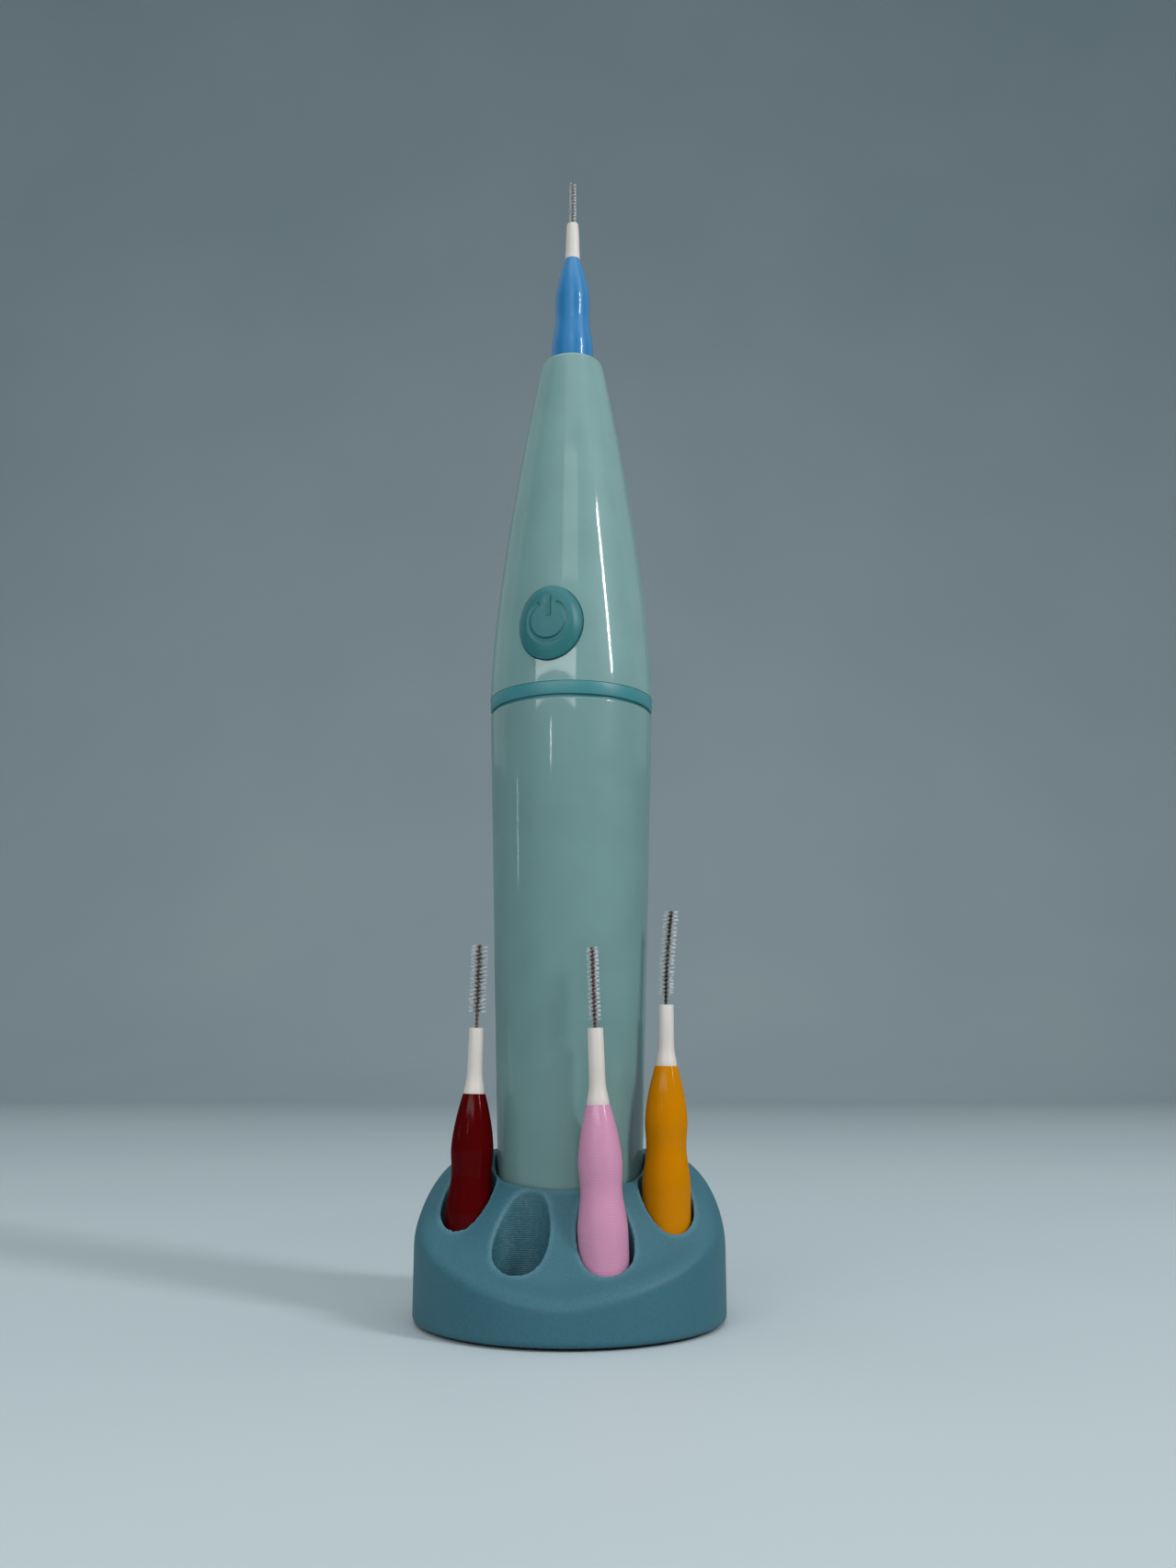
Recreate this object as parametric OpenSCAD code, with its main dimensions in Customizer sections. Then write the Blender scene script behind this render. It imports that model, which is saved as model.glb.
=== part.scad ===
// Battery handle with a turning interdental brush, standing in a stand that
// holds its spare brush heads. Millimetres, +Z up, origin at the middle of the
// stand's underside, front of the object towards -Y.

/* [Stand] */
// Outer radius of the stand
stand_r = 24; // [23.5:0.1:28]
// Height of the stand's top above the table
stand_top = 24.8; // [23:0.1:28]
// Height at which the stand's wall starts to round over at the back
shoulder_z = 10; // [8:0.1:12]
// Rounding of the stand's bottom edge
stand_edge = 0.7; // [0.3:0.1:1]
// Height of the stand's shell above the table, which its rubber foot fills
foot_proud = 0.4; // [0.2:0.1:0.6]
// Height of the scooped front where it meets the handle
scoop_top = 20.4; // [18:0.1:22]
// Height of the scooped front at the stand's rim
scoop_rim = 5; // [4.4:0.1:6]
// How much the scoop's lip rises towards the outer sockets
scoop_rise = 4.2; // [3.5:0.1:5]
// Turn of the scoop from the front, towards the right
scoop_turn = -3; // [-5:0.5:5]
// Depth of the recess under the stand for the weight and the cover
recess_h = 2.6; // [2.2:0.1:2.8]
// Wall left round that recess
recess_wall = 2.4; // [1.6:0.1:3]
// Thickness of the base cover
cover_t = 1.2; // [0.9:0.1:1.4]
// Floor left between the recess and the handle's cup
cup_floor = 1.5; // [1:0.1:2]

/* [Sockets] */
// Radius of the circle that the four sockets lie on
socket_circle = 16.3; // [16:0.1:17]
// Turn of each socket from the front, towards the right: red, empty, pink, yellow
socket_angles = [-70, -25, 19, 63];
// Radius of a socket
socket_r = 4.125; // [4:0.025:4.3]
// Height of each socket's floor above the lowest one: red, empty, pink, yellow
floor_heights = [1.3, 0, 0, 5.5];

/* [Handle] */
// Outer radius of the battery tube at its top
tube_top_r = 13.5; // [13:0.1:14]
// Outer radius of the battery tube at its foot
tube_foot_r = 10.85; // [10.7:0.05:11]
// Length of the battery tube
tube_h = 90.8; // [86:0.1:96]
// Wall of the battery tube and of the housing
shell_wall = 1.6; // [1.4:0.1:1.8]
// Gap between the tube and the stand's cup
cup_gap = 0.3; // [0.2:0.05:0.4]
// Height of the accent ring
ring_h = 2.6; // [2:0.1:3]
// Outer radius of the housing at the accent ring
housing_r = 13.6; // [13.3:0.1:14]
// Height of the housing above the accent ring
housing_h = 62.1; // [59:0.1:66]
// Outer radius of the nose before its rounded edge
nose_r = 5.5; // [5.2:0.1:5.8]
// Rounding of the nose's rim
nose_round = 1.2; // [0.8:0.1:1.4]

/* [Button] */
// Width of the power button
button_w = 10.6; // [9.6:0.1:11]
// Height of the power button
button_h = 12.7; // [11.5:0.1:13.5]
// Height of the button's middle above the accent ring
button_up = 9.8; // [9:0.1:11]
// Turn of the button from the front, towards the left
button_turn = 15; // [0:1:20]
// How far the button's rim stands out of the housing
button_proud = 0.5; // [0.3:0.1:0.8]
// How far the button's face stands out beyond its rim
button_dome = 0.9; // [0.6:0.1:1.2]
// Travel of the button
button_travel = 0.4; // [0.3:0.05:0.5]

/* [Brush heads] */
// Length of a head's coloured grip
grip_h = 28; // [27:0.1:30]
// Radius of the grip's lower end
grip_r = 3.68; // [3.6:0.01:3.75]
// Radius of the grip's bulge
bulge_r = 3.2; // [3:0.01:3.35]
// Radius of the white neck
neck_r = 1.22; // [1.1:0.01:1.4]
// Length of the neck above the grip: blue, red, pink, yellow
neck_lengths = [7.3, 10, 11.1, 9.3];
// Length of the wire above the neck: blue, red, pink, yellow
wire_lengths = [8.5, 13, 12, 14.6];
// Radius to the bristle tips: blue, red, pink, yellow
bristle_radii = [0.85, 1.42, 0.95, 1.25];
// Bare wire above the neck: blue, red, pink, yellow
bare_lengths = [0.9, 2.4, 1.2, 1.5];
// Radius of the twisted wire
wire_r = 0.27; // [0.24:0.01:0.32]
// Radius of one modelled bristle at its root
bristle_r = 0.07; // [0.05:0.01:0.08]
// Height between neighbouring pairs of bristles
bristle_row_h = 0.215; // [0.2:0.005:0.3]

/* [Battery] */
// Radius of the cell
cell_r = 7.15; // [6.9:0.05:7.3]
// Room for the wires between the cell's cradle and the motor
wire_room = 4.5; // [4:0.1:6]
// Radius of the cell's contact nub
nub_r = 2.7; // [2:0.1:2.9]
// Height of the cell's contact nub
nub_h = 1.2; // [1:0.1:1.5]
// Height of the spring under the cell
spring_h = 6; // [5:0.1:7]
// Radius of the spring's foot, to the middle of its wire
spring_r = 5; // [4:0.1:5.5]
// Radius of the spring's wire
spring_wire_r = 0.35; // [0.3:0.01:0.4]

/* [Drive] */
// Gear module
gear_module = 0.4; // [0.38:0.01:0.42]
// Thickness of the gears
gear_t = 3; // [2.5:0.1:4]
// Half of the free play left between teeth
tooth_play = 0.05; // [0.04:0.005:0.07]
// Radius of the motor's can
motor_r = 9; // [8.6:0.1:9.2]
// Distance between the motor's two flats
motor_flats = 14; // [13:0.1:14.4]
// Length of the motor's can
motor_h = 22; // [20:0.1:24]
// Radius of the motor's shaft
shaft_r = 0.75; // [0.6:0.05:0.9]
// Radius of the drive spindle
spindle_r = 1.5; // [1.4:0.05:1.6]
// How deep the spindle's tip reaches into a head's grip
tip_depth = 6.5; // [5:0.1:7.5]

/* [Hidden] */

// Colours of the pieces
mint = "#7f9e9b";
teal = "#2f6f71";
slate = "#36626d";
steel = "#a8abad";
brass = "#b9964f";
white_plastic = "#d3ccc6";
dark_rubber = "#2b2e30";
board_green = "#2c5a41";
grip_colours = ["#2f7fb8", "#7a0f12", "#d59abb", "#d28a08"];
wire_colours = ["#6d6259", "#6a5450", "#8c5560", "#3b3a2c"];

// Clearances between pieces
run_gap = 0.05; // a shaft in its bearing
slip_gap = 0.1; // pieces that slide apart
seat_gap = 0.02; // a piece pressed or glued into its seat
free_gap = 0.3; // pieces that must not touch
over = 0.5; // how far a cutting tool runs past the face that it cuts

// Roundness of turned pieces and number of steps along a drawn curve
$fn = 96;
curve_steps = 28;

// Heights of the main seats
cover_z = foot_proud;
weight_z = cover_z + cover_t;
recess_top = foot_proud + recess_h;
cup_z = recess_top + cup_floor;
tube_z = cup_z;
ring_z = tube_z + tube_h;
housing_z = ring_z + ring_h;
nose_top = housing_z + housing_h;

// Stand: sockets, screws and foot
socket_floors = [for (h = floor_heights) cup_z + h];
cup_top_r = tube_foot_r + (tube_top_r - tube_foot_r) * (stand_top - tube_z) / tube_h + cup_gap;
recess_r = stand_r - recess_wall;
shoulder_power = 2.2;
shoulder_start_r = 13;
scoop_full_angle = 52;
scoop_rise_power = 1.4;
rim_rise_share = 1.2;
curve_rise_power = 0.7;
scoop_end_angle = 100;
screw_count = 3;
screw_turn = (socket_angles[1] + socket_angles[2]) / 2;
screw_inset = 2.6;
screw_circle = recess_r - screw_inset;
screw_r = 0.9;
screw_head_r = 1.8;
screw_head_h = 0.7;
screw_drive_r_share = 0.5;
screw_drive_h_share = 0.6;
screw_h = 7;
foot_groove = 0.4;
foot_ring_w = 3;
foot_ring_inset = 1.1;
foot_ring_r = screw_circle - screw_head_r - foot_ring_inset - foot_ring_w / 2;

// Handle: inside of the tube
mouth_r = tube_top_r - shell_wall;
mouth_h = 9;
tube_floor_z = tube_z + shell_wall;
tube_edge = 1.2;
plate_t = 0.4;
spring_z = tube_floor_z + plate_t;
cell_z = spring_z + spring_h;
spring_turns = 4;
spring_top_share = 0.62;
guide_wall = 1;
guide_rib_w = 1.4;
guide_ribs = 6;
guide_below = 7.2;
strip_w = 3;
strip_t = 0.3;

// Handle: frame, motor and gears
frame_gap = 0.25;
frame_r = mouth_r - frame_gap;
frame_wall = 1.4;
frame_lip_h = 3;
frame_lip_wall = 0.8;
deck_t = 1.2;
deck_sink = 1;
deck_z = ring_z - deck_sink;
deck_top = deck_z + deck_t;
motor_z = deck_z - motor_h;
end_cap_h = 3;
end_cap_z = motor_z - end_cap_h;
can_wall = 0.6;
magnet_t = 1.5;
magnet_share = 0.6;
magnet_h = motor_h * magnet_share;
magnet_z = motor_z + (motor_h - magnet_h) / 2;
tab_out_share = 0.6;
tab_h_share = 0.8;
rotor_r = 6;
motor_boss_r = 2.8;
motor_boss_h = 0.8;
cradle_wall = 1;
cradle_arm_share = 0.8;
cradle_plate_t = 1.5;
cradle_z = end_cap_z - wire_room - cradle_plate_t;
contact_z = cradle_z - plate_t;
contact_share = 1.5;
nub_z = contact_z - nub_h;
cell_h = nub_z - cell_z;
guide_h = nub_z - guide_below - spring_z;
seal_wire_r = 0.5;
seal_groove_depth_share = 1.6;
seal_groove_half_share = 1.2;
seal_sink = 4.5;
seal_z = ring_z - seal_sink;

sun_teeth = 9;
planet_teeth = 12;
ring_teeth = sun_teeth + 2 * planet_teeth;
planet_count = 3;
gear_arm = gear_module * (sun_teeth + planet_teeth) / 2;
tooth_top_share = 0.85;
tooth_root_share = 1.1;
pressure_angle = 25;
gear_z = deck_top + free_gap;
carrier_z = gear_z + gear_t + free_gap;
carrier_t = 1.6;
carrier_r = 5.9;
planet_pin_r = 0.7;
case_r = 8;
case_top = carrier_z + carrier_t + free_gap;
cover_plate_t = 1.5;
boss_r = 3;
boss_h = 3.5;
lug_circle = 9.1;
lug_r = 1.4;
lug_web_share = 1.6;
gear_screw_r = 0.65;
gear_screw_head_r = 1.25;
gear_screw_head_h = 0.9;
gear_screw_angles = [60, 180, 300];

// Handle: spindle and nose
head_sink = 7.1;
head_z = nose_top - head_sink;
collar_h = 1;
collar_r = 2.6;
pocket_gap = 0.27;
pocket_r = grip_r + pocket_gap;
pocket_z = head_z - collar_h - free_gap;
nose_floor_t = 1.2;
seal_t = 1.2;
bush_h = 6;
bush_r = 3.4;
seal_top = pocket_z - nose_floor_t;
bush_top = seal_top - seal_t;
bush_z = bush_top - bush_h;
bush_shelf = 1;
cavity_top = bush_z - bush_shelf;
tip_step = 0.15;
tip_r = spindle_r - tip_step;
tip_flat = 0.35;

// Handle: board, switch and button
button_z = housing_z + button_up;
board_t = 1;
board_w = 7.6;
board_h = 15.2;
board_in = case_r + free_gap;
board_up = 3.3;
board_z = deck_top + board_up;
post_w = 1;
post_h = 4.6;
post_depth = 2;
switch_side = 5;
switch_t = 1.5;
plunger_r = 1.1;
plunger_h = 0.6;
dimple_share = 1.2;
button_wall = 1.2;
flange_w = 0.8;
flange_t = 0.5;
groove_r = 3.6;
groove_w = 0.7;
groove_depth = 0.35;
groove_opening = 50;
bar_w = 1.1;
bar_h = 3.8;
bar_up_share = 0.36;

// Brush heads: blue, red, pink, yellow
grip_tops = [1.4, 1.72, 1.75, 1.72];
neck_tops = [0.85, 1, 1, 1];
waist_in = 0.15;
waist_r = bulge_r - waist_in;
stem_r = 1.15;
stem_h = 11;
neck_flare_h = 3.9;
wire_seat_h = 2;
strand_turn = 40;
strand_taper_share = 0.6;
strand_root_share = 0.45;
grip_power = 1.6;
base_share = 0.36;
waist_share = 0.58;
bulge_share = 0.7;

// Point of a cubic curve through p[0] and p[3], pulled by p[1] and p[2]
function cubic(p, t) =
    pow(1 - t, 3) * p[0] + 3 * pow(1 - t, 2) * t * p[1]
    + 3 * (1 - t) * t * t * p[2] + t * t * t * p[3];

// Points of an arc, for rounded edges of turned outlines
function arc(x, y, r, from, to, steps = 4) =
    [for (k = [0:steps]) let (a = from + (to - from) * k / steps) [x + r * cos(a), y + r * sin(a)]];

// Smooth step from 0 to 1
function ease(t) = let (u = max(0, min(1, t))) u * u * (3 - 2 * u);

// A place at a radius and an angle from the front, positive towards the right
function from_front(r, a) = [r * sin(a), -r * cos(a), 0];

// Closed solid through rings of points, the lowest ring first
module ring_skin(rings, low_middle, high_middle) {
    n = len(rings[0]);
    m = len(rings);
    points = concat([for (ring = rings) each ring], [low_middle, high_middle]);
    sides = [for (i = [0:m - 2], k = [0:n - 1]) let (a = i * n + k, b = i * n + (k + 1) % n)
        each [[a, a + n, b + n], [a, b + n, b]]];
    low = [for (k = [0:n - 1]) [m * n, k, (k + 1) % n]];
    high = [for (k = [0:n - 1]) [m * n + 1, (m - 1) * n + (k + 1) % n, (m - 1) * n + k]];
    polyhedron(points = points, faces = concat(sides, low, high));
}

// Ring cut in one piece, standing on z = 0
module pipe(outer, inner, h) {
    difference() {
        cylinder(r = outer, h = h);
        translate([0, 0, -over]) cylinder(r = inner, h = h + 2 * over);
    }
}

// Children at each base screw
module at_screws() {
    for (k = [0:screw_count - 1])
        translate(from_front(screw_circle, screw_turn + 360 * k / screw_count)) children();
}

// The stand's outline is blended, angle by angle, from a rounded shoulder at
// the back and sides to a scoop that opens the sockets towards the front.
stand_steps = 72;
stand_start_r = 10;
cup_dip = 0.8;
shoulder_steps = 10;
scoop_steps = 6;
scoop_lip_in = 3.6;
scoop_lip_r = stand_r - scoop_lip_in;
scoop_lip_z = 8.3;
scoop_start_r = 11.4;
scoop_pull_shares = [[0.16, 0.97], [0.58, 0.265]];
rim_pull_shares = [[0.4, 0.63], [0.93, 0.5]];

function shoulder_point(a) = [
    shoulder_start_r + (stand_r - shoulder_start_r) * pow(cos(a), 2 / shoulder_power),
    shoulder_z + (stand_top - shoulder_z) * pow(sin(a), 2 / shoulder_power)];
shoulder_curve = concat([[stand_start_r, stand_top - cup_dip]],
    [for (k = [0:shoulder_steps]) shoulder_point(90 * (1 - k / shoulder_steps))]);

function scoop_mix(shares) = [
    scoop_start_r + (scoop_lip_r - scoop_start_r) * shares[0],
    scoop_lip_z + (scoop_top - scoop_lip_z) * shares[1]];
scoop_pull = [[scoop_start_r, scoop_top], scoop_mix(scoop_pull_shares[0]),
    scoop_mix(scoop_pull_shares[1]), [scoop_lip_r, scoop_lip_z]];
rim_steps = shoulder_steps - scoop_steps;
function rim_mix(shares) = [
    scoop_lip_r + scoop_lip_in * shares[0], scoop_rim + (scoop_lip_z - scoop_rim) * shares[1]];
rim_pull = [rim_mix([0, 1]), rim_mix(rim_pull_shares[0]), rim_mix(rim_pull_shares[1]), rim_mix([1, 0])];
scoop_curve = concat([[stand_start_r, scoop_top]],
    [for (k = [0:scoop_steps]) cubic(scoop_pull, k / scoop_steps)],
    [for (k = [1:rim_steps]) cubic(rim_pull, k / rim_steps)]);

// Share of the lip's rise that each point of the scoop's curve takes
scoop_rise_shares = concat([0], [for (k = [0:scoop_steps]) pow(k / scoop_steps, curve_rise_power)],
    [for (k = [1:rim_steps]) 1 + (rim_rise_share - 1) * k / rim_steps]);
function lip_rise(a) = scoop_rise * pow(min(a, scoop_end_angle) / scoop_full_angle, scoop_rise_power);
function scoop_weight(a) = ease((scoop_end_angle - a) / (scoop_end_angle - scoop_full_angle));
function off_scoop(a) = abs(a - scoop_turn) > 180 ? 360 - abs(a - scoop_turn) : abs(a - scoop_turn);
function stand_point(i, off) = let (w = scoop_weight(off))
    shoulder_curve[i] * (1 - w) + (scoop_curve[i] + [0, lip_rise(off) * scoop_rise_shares[i]]) * w;
function stand_ring(i) = [for (k = [0:stand_steps - 1])
    let (a = 360 * k / stand_steps - 180, p = stand_point(i, off_scoop(a)))
    [p[0] * sin(a), -p[0] * cos(a), p[1]]];
function flat_ring(r, z) = [for (k = [0:stand_steps - 1])
    let (a = 360 * k / stand_steps - 180) [r * sin(a), -r * cos(a), z]];

function tube_radius(z) = tube_foot_r + (tube_top_r - tube_foot_r) * (z - tube_z) / tube_h;

module stand_body() {
    last = len(shoulder_curve) - 1;
    color(slate) difference() {
        ring_skin(
            concat([flat_ring(stand_r - stand_edge, foot_proud), flat_ring(stand_r, foot_proud + stand_edge)],
                [for (k = [0:last]) stand_ring(last - k)]),
            [0, 0, foot_proud], [0, 0, scoop_top]);
        translate([0, 0, cup_z]) cylinder(r1 = tube_radius(cup_z) + cup_gap,
            r2 = tube_radius(stand_top + over) + cup_gap, h = stand_top + over - cup_z);
        for (k = [0:3]) translate(from_front(socket_circle, socket_angles[k]))
            translate([0, 0, socket_floors[k]]) cylinder(r = socket_r, h = stand_top);
        translate([0, 0, foot_proud - over]) cylinder(r = recess_r, h = recess_h + over);
        at_screws() translate([0, 0, cover_z]) cylinder(r = screw_r + seat_gap, h = screw_h + slip_gap);
    }
}

module weight_plate() {
    color(steel) difference() {
        translate([0, 0, weight_z]) cylinder(r = recess_r - slip_gap, h = recess_top - weight_z);
        at_screws() cylinder(r = screw_r + slip_gap, h = recess_top + over);
    }
}

module base_cover() {
    color(slate) difference() {
        translate([0, 0, cover_z]) cylinder(r = recess_r - slip_gap, h = cover_t);
        at_screws() cylinder(r = screw_r + slip_gap, h = recess_top);
        at_screws() translate([0, 0, cover_z - over])
            cylinder(r = screw_head_r + slip_gap, h = screw_head_h + over);
        pipe(foot_ring_r + foot_ring_w / 2, foot_ring_r - foot_ring_w / 2, cover_z + foot_groove);
    }
}

module foot_ring() {
    color(dark_rubber)
        pipe(foot_ring_r + foot_ring_w / 2 - seat_gap, foot_ring_r - foot_ring_w / 2 + seat_gap,
            foot_proud + foot_groove);
}

module base_screws() {
    color(steel) at_screws() translate([0, 0, cover_z]) difference() {
        union() {
            cylinder(r = screw_head_r, h = screw_head_h);
            cylinder(r = screw_r, h = screw_h);
        }
        translate([0, 0, -over]) cylinder(r = screw_head_r * screw_drive_r_share,
            h = screw_head_h * screw_drive_h_share + over, $fn = 6);
    }
}

module battery_tube() {
    lip = shell_wall / 4;
    outline = concat([[0, 0]],
        arc(tube_foot_r - tube_edge, tube_edge, tube_edge, -90, 0),
        arc(tube_top_r - lip, tube_h - lip, lip, 0, 90, 3),
        [[mouth_r, tube_h], [mouth_r, tube_h - mouth_h]],
        [[tube_radius(tube_z + tube_h - mouth_h) - shell_wall, tube_h - mouth_h]],
        [[tube_radius(tube_floor_z) - shell_wall, shell_wall], [0, shell_wall]]);
    color(mint) translate([0, 0, tube_z]) rotate_extrude() polygon(outline);
}

module battery_guide() {
    reach = tube_top_r;
    color(white_plastic) difference() {
        intersection() {
            translate([0, 0, spring_z]) union() {
                cylinder(r = cell_r + free_gap + guide_wall, h = guide_h);
                for (k = [0:guide_ribs / 2 - 1]) rotate([0, 0, 360 * k / guide_ribs])
                    translate([-reach, -guide_rib_w / 2, 0]) cube([2 * reach, guide_rib_w, guide_h]);
            }
            translate([0, 0, spring_z]) cylinder(
                r1 = tube_radius(spring_z) - shell_wall - slip_gap,
                r2 = tube_radius(spring_z + guide_h) - shell_wall - slip_gap, h = guide_h);
        }
        translate([0, 0, spring_z - over]) cylinder(r = cell_r + free_gap, h = guide_h + 2 * over);
    }
}

module battery_cell() {
    edge = nub_h / 2;
    color(brass) translate([0, 0, cell_z]) rotate_extrude() polygon(concat(
        [[0, 0], [cell_r - edge, 0], [cell_r, edge]],
        arc(cell_r - edge, cell_h - edge, edge, 0, 90),
        [[nub_r, cell_h], [nub_r, cell_h + nub_h], [0, cell_h + nub_h]]));
}

module negative_plate() {
    color(brass) translate([0, 0, tube_floor_z])
        cylinder(r = tube_radius(tube_floor_z) - shell_wall - slip_gap, h = plate_t);
}

// A conical coil from the plate up to the cell, wide end down
spring_sides = 6;
spring_rings_a_turn = 8;
module negative_spring() {
    count = spring_turns * spring_rings_a_turn;
    rise = spring_h - 2 * spring_wire_r - 2 * seat_gap;
    rings = [for (i = [0:count]) let (a = 360 * i / spring_rings_a_turn,
            r = spring_r * (1 - (1 - spring_top_share) * i / count),
            z = spring_wire_r + seat_gap + rise * i / count)
        [for (k = [0:spring_sides - 1]) let (b = -360 * k / spring_sides,
                q = r + spring_wire_r * cos(b))
            [q * cos(a), q * sin(a), z + spring_wire_r * sin(b)]]];
    first = [spring_r, 0, spring_wire_r + seat_gap];
    last = [spring_r * spring_top_share, 0, spring_wire_r + seat_gap + rise];
    echo(least_spring_gap = rise / spring_turns - 2 * spring_wire_r);
    color(steel) translate([0, 0, spring_z]) ring_skin(rings, first, last);
}

// Thin strip up the tube's inner wall, at the back
module contact_strip() {
    low = spring_z;
    high = tube_z + tube_h - mouth_h - over;
    inset = shell_wall + slip_gap + strip_w * strip_w / (8 * (tube_foot_r - shell_wall));
    outline = [
        [tube_radius(low) - inset, low], [tube_radius(high) - inset, high],
        [tube_radius(high) - inset - strip_t, high], [tube_radius(low) - inset - strip_t, low]];
    color(brass) translate([-strip_w / 2, 0, 0]) rotate([90, 0, 90]) linear_extrude(strip_w)
        polygon(outline);
}

// The housing's outline above the accent ring: one cubic curve up to the nose
housing_pull_shares = [[0.985, 0.363], [0.39, 1.03]];
curve_h = housing_h - nose_round;
housing_pull = [[housing_r, 0],
    [housing_r * housing_pull_shares[0][0], curve_h * housing_pull_shares[0][1]],
    [housing_r * housing_pull_shares[1][0], curve_h * housing_pull_shares[1][1]],
    [nose_r, curve_h]];
housing_curve = [for (k = [0:curve_steps]) cubic(housing_pull, k / curve_steps)];
housing_table = [for (p = housing_curve) [p[1], p[0]]];
function housing_radius(h) = lookup(h, housing_table);

// Solid inside the housing's outline, drawn in by an inset, between two heights
module housing_core(inset, low, high) {
    rotate_extrude() polygon(concat([[0, low]],
        [for (k = [0:curve_steps]) let (h = low + (high - low) * k / curve_steps)
            [housing_radius(h) - inset, h]],
        [[0, high]]));
}

// Children in the button's own place: x to the right, y up, z outwards
module at_button() {
    rotate([0, 0, -button_turn]) translate([0, 0, button_z]) rotate([90, 0, 0]) children();
}

oval_steps = 48;
function oval(w, h) = [for (k = [0:oval_steps - 1]) let (a = 360 * k / oval_steps)
    [w / 2 * cos(a), h / 2 * sin(a)]];

module oval_bar(grow, low, high) {
    at_button() translate([0, 0, low]) linear_extrude(high - low)
        polygon(oval(button_w + 2 * grow, button_h + 2 * grow));
}

module accent_ring() {
    undercut = ring_h / 6;
    color(teal) translate([0, 0, ring_z]) rotate_extrude() polygon([
        [frame_r + seat_gap, 0], [tube_top_r - undercut, 0], [tube_top_r - undercut, undercut],
        [tube_top_r, undercut], [housing_r, ring_h - undercut / 2],
        [housing_r - undercut / 2, ring_h], [frame_r + seat_gap, ring_h]]);
}

module seal_ring() {
    color(dark_rubber) translate([0, 0, seal_z]) rotate_extrude()
        translate([mouth_r - run_gap - seal_wire_r, 0]) circle(r = seal_wire_r);
}

module head_housing() {
    color(mint) difference() {
        translate([0, 0, housing_z]) rotate_extrude() polygon(concat([[0, 0]], housing_curve,
            arc(nose_r - nose_round, curve_h, nose_round, 10, 90), [[0, housing_h]]));
        translate([0, 0, housing_z]) housing_core(shell_wall, 0, cavity_top - housing_z);
        translate([0, 0, housing_z - over]) cylinder(r = housing_r - shell_wall, h = 2 * over);
        translate([0, 0, cavity_top - over])
            cylinder(r = bush_r + seat_gap, h = seal_top - cavity_top + over);
        translate([0, 0, seal_top - over])
            cylinder(r = spindle_r + free_gap, h = pocket_z - seal_top + 2 * over);
        translate([0, 0, pocket_z]) cylinder(r = pocket_r, h = nose_top - pocket_z + over);
        oval_bar(slip_gap, case_r, housing_r + over);
    }
}

module power_button() {
    reach = housing_radius(button_up);
    top = reach + button_proud + button_dome;
    inner = shell_wall + slip_gap;
    pocket_top = reach - button_wall / 2;
    switch_top = board_in + board_t + switch_t + plunger_h;
    color(teal) difference() {
        union() {
            power_button_cap(top, reach - button_wall);
            intersection() {
                oval_bar(0, case_r, reach);
                translate([0, 0, housing_z]) difference() {
                    housing_core(0, button_up - button_h, button_up + button_h);
                    housing_core(inner + flange_t, button_up - 2 * button_h, button_up + 2 * button_h);
                }
            }
            intersection() {
                oval_bar(flange_w, case_r, reach);
                translate([0, 0, housing_z]) difference() {
                    housing_core(inner, button_up - button_h, button_up + button_h);
                    housing_core(inner + flange_t, button_up - 2 * button_h, button_up + 2 * button_h);
                }
            }
        }
        difference() {
            oval_bar(-button_wall, case_r - over, pocket_top);
            at_button() translate([0, 0, switch_top + button_travel + seat_gap])
                cylinder(r = plunger_r * dimple_share, h = pocket_top);
        }
        at_button() power_sign(top);
    }
}

// Domed cap over the housing's curve, from its rim up to the button's face.
// Each share pair is a step in from the rim and a rise towards the face.
button_rise_shares = [[0, 0], [0.035, 0.14], [0.1, 0.36], [0.2, 0.62], [0.33, 0.83], [0.5, 0.95], [0.75, 1]];
module power_button_cap(top, back) {
    flat = oval(button_w, button_h);
    rim = [for (p = flat)
        sqrt(pow(housing_radius(button_up + p[1]) + button_proud, 2) - p[0] * p[0])];
    low = [for (p = flat) [p[0], p[1], back]];
    rings = [for (s = button_rise_shares) [for (k = [0:oval_steps - 1])
        [flat[k][0] * (1 - s[0]), flat[k][1] * (1 - s[0]), rim[k] + (top - rim[k]) * s[1]]]];
    at_button() ring_skin(concat([low], rings), [0, 0, back], [0, 0, top]);
}

// Groove of the on and off sign: an open ring and a bar
module power_sign(top) {
    translate([0, 0, top - groove_depth]) {
        rotate([0, 0, 90 + groove_opening / 2]) rotate_extrude(angle = 360 - groove_opening)
            translate([groove_r - groove_w, 0]) square([groove_w, 2 * button_dome]);
        translate([-bar_w / 2, button_h * bar_up_share - bar_h, 0]) cube([bar_w, bar_h, 2 * button_dome]);
    }
}

module switch_board() {
    color(board_green) rotate([0, 0, -button_turn])
        translate([-board_w / 2, -board_in - board_t, board_z]) cube([board_w, board_t, board_h]);
}

module button_switch() {
    color(dark_rubber) at_button() translate([0, 0, board_in + board_t]) {
        translate([-switch_side / 2, -switch_side / 2, 0]) cube([switch_side, switch_side, switch_t]);
        cylinder(r = plunger_r, h = switch_t + plunger_h);
    }
}

// Motor
module motor_outline(inset) {
    intersection() {
        circle(r = motor_r - inset);
        square([2 * motor_r, motor_flats - 2 * inset], center = true);
    }
}

module motor_place(z) {
    rotate([0, 0, -button_turn]) translate([0, 0, z]) children();
}

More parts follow.
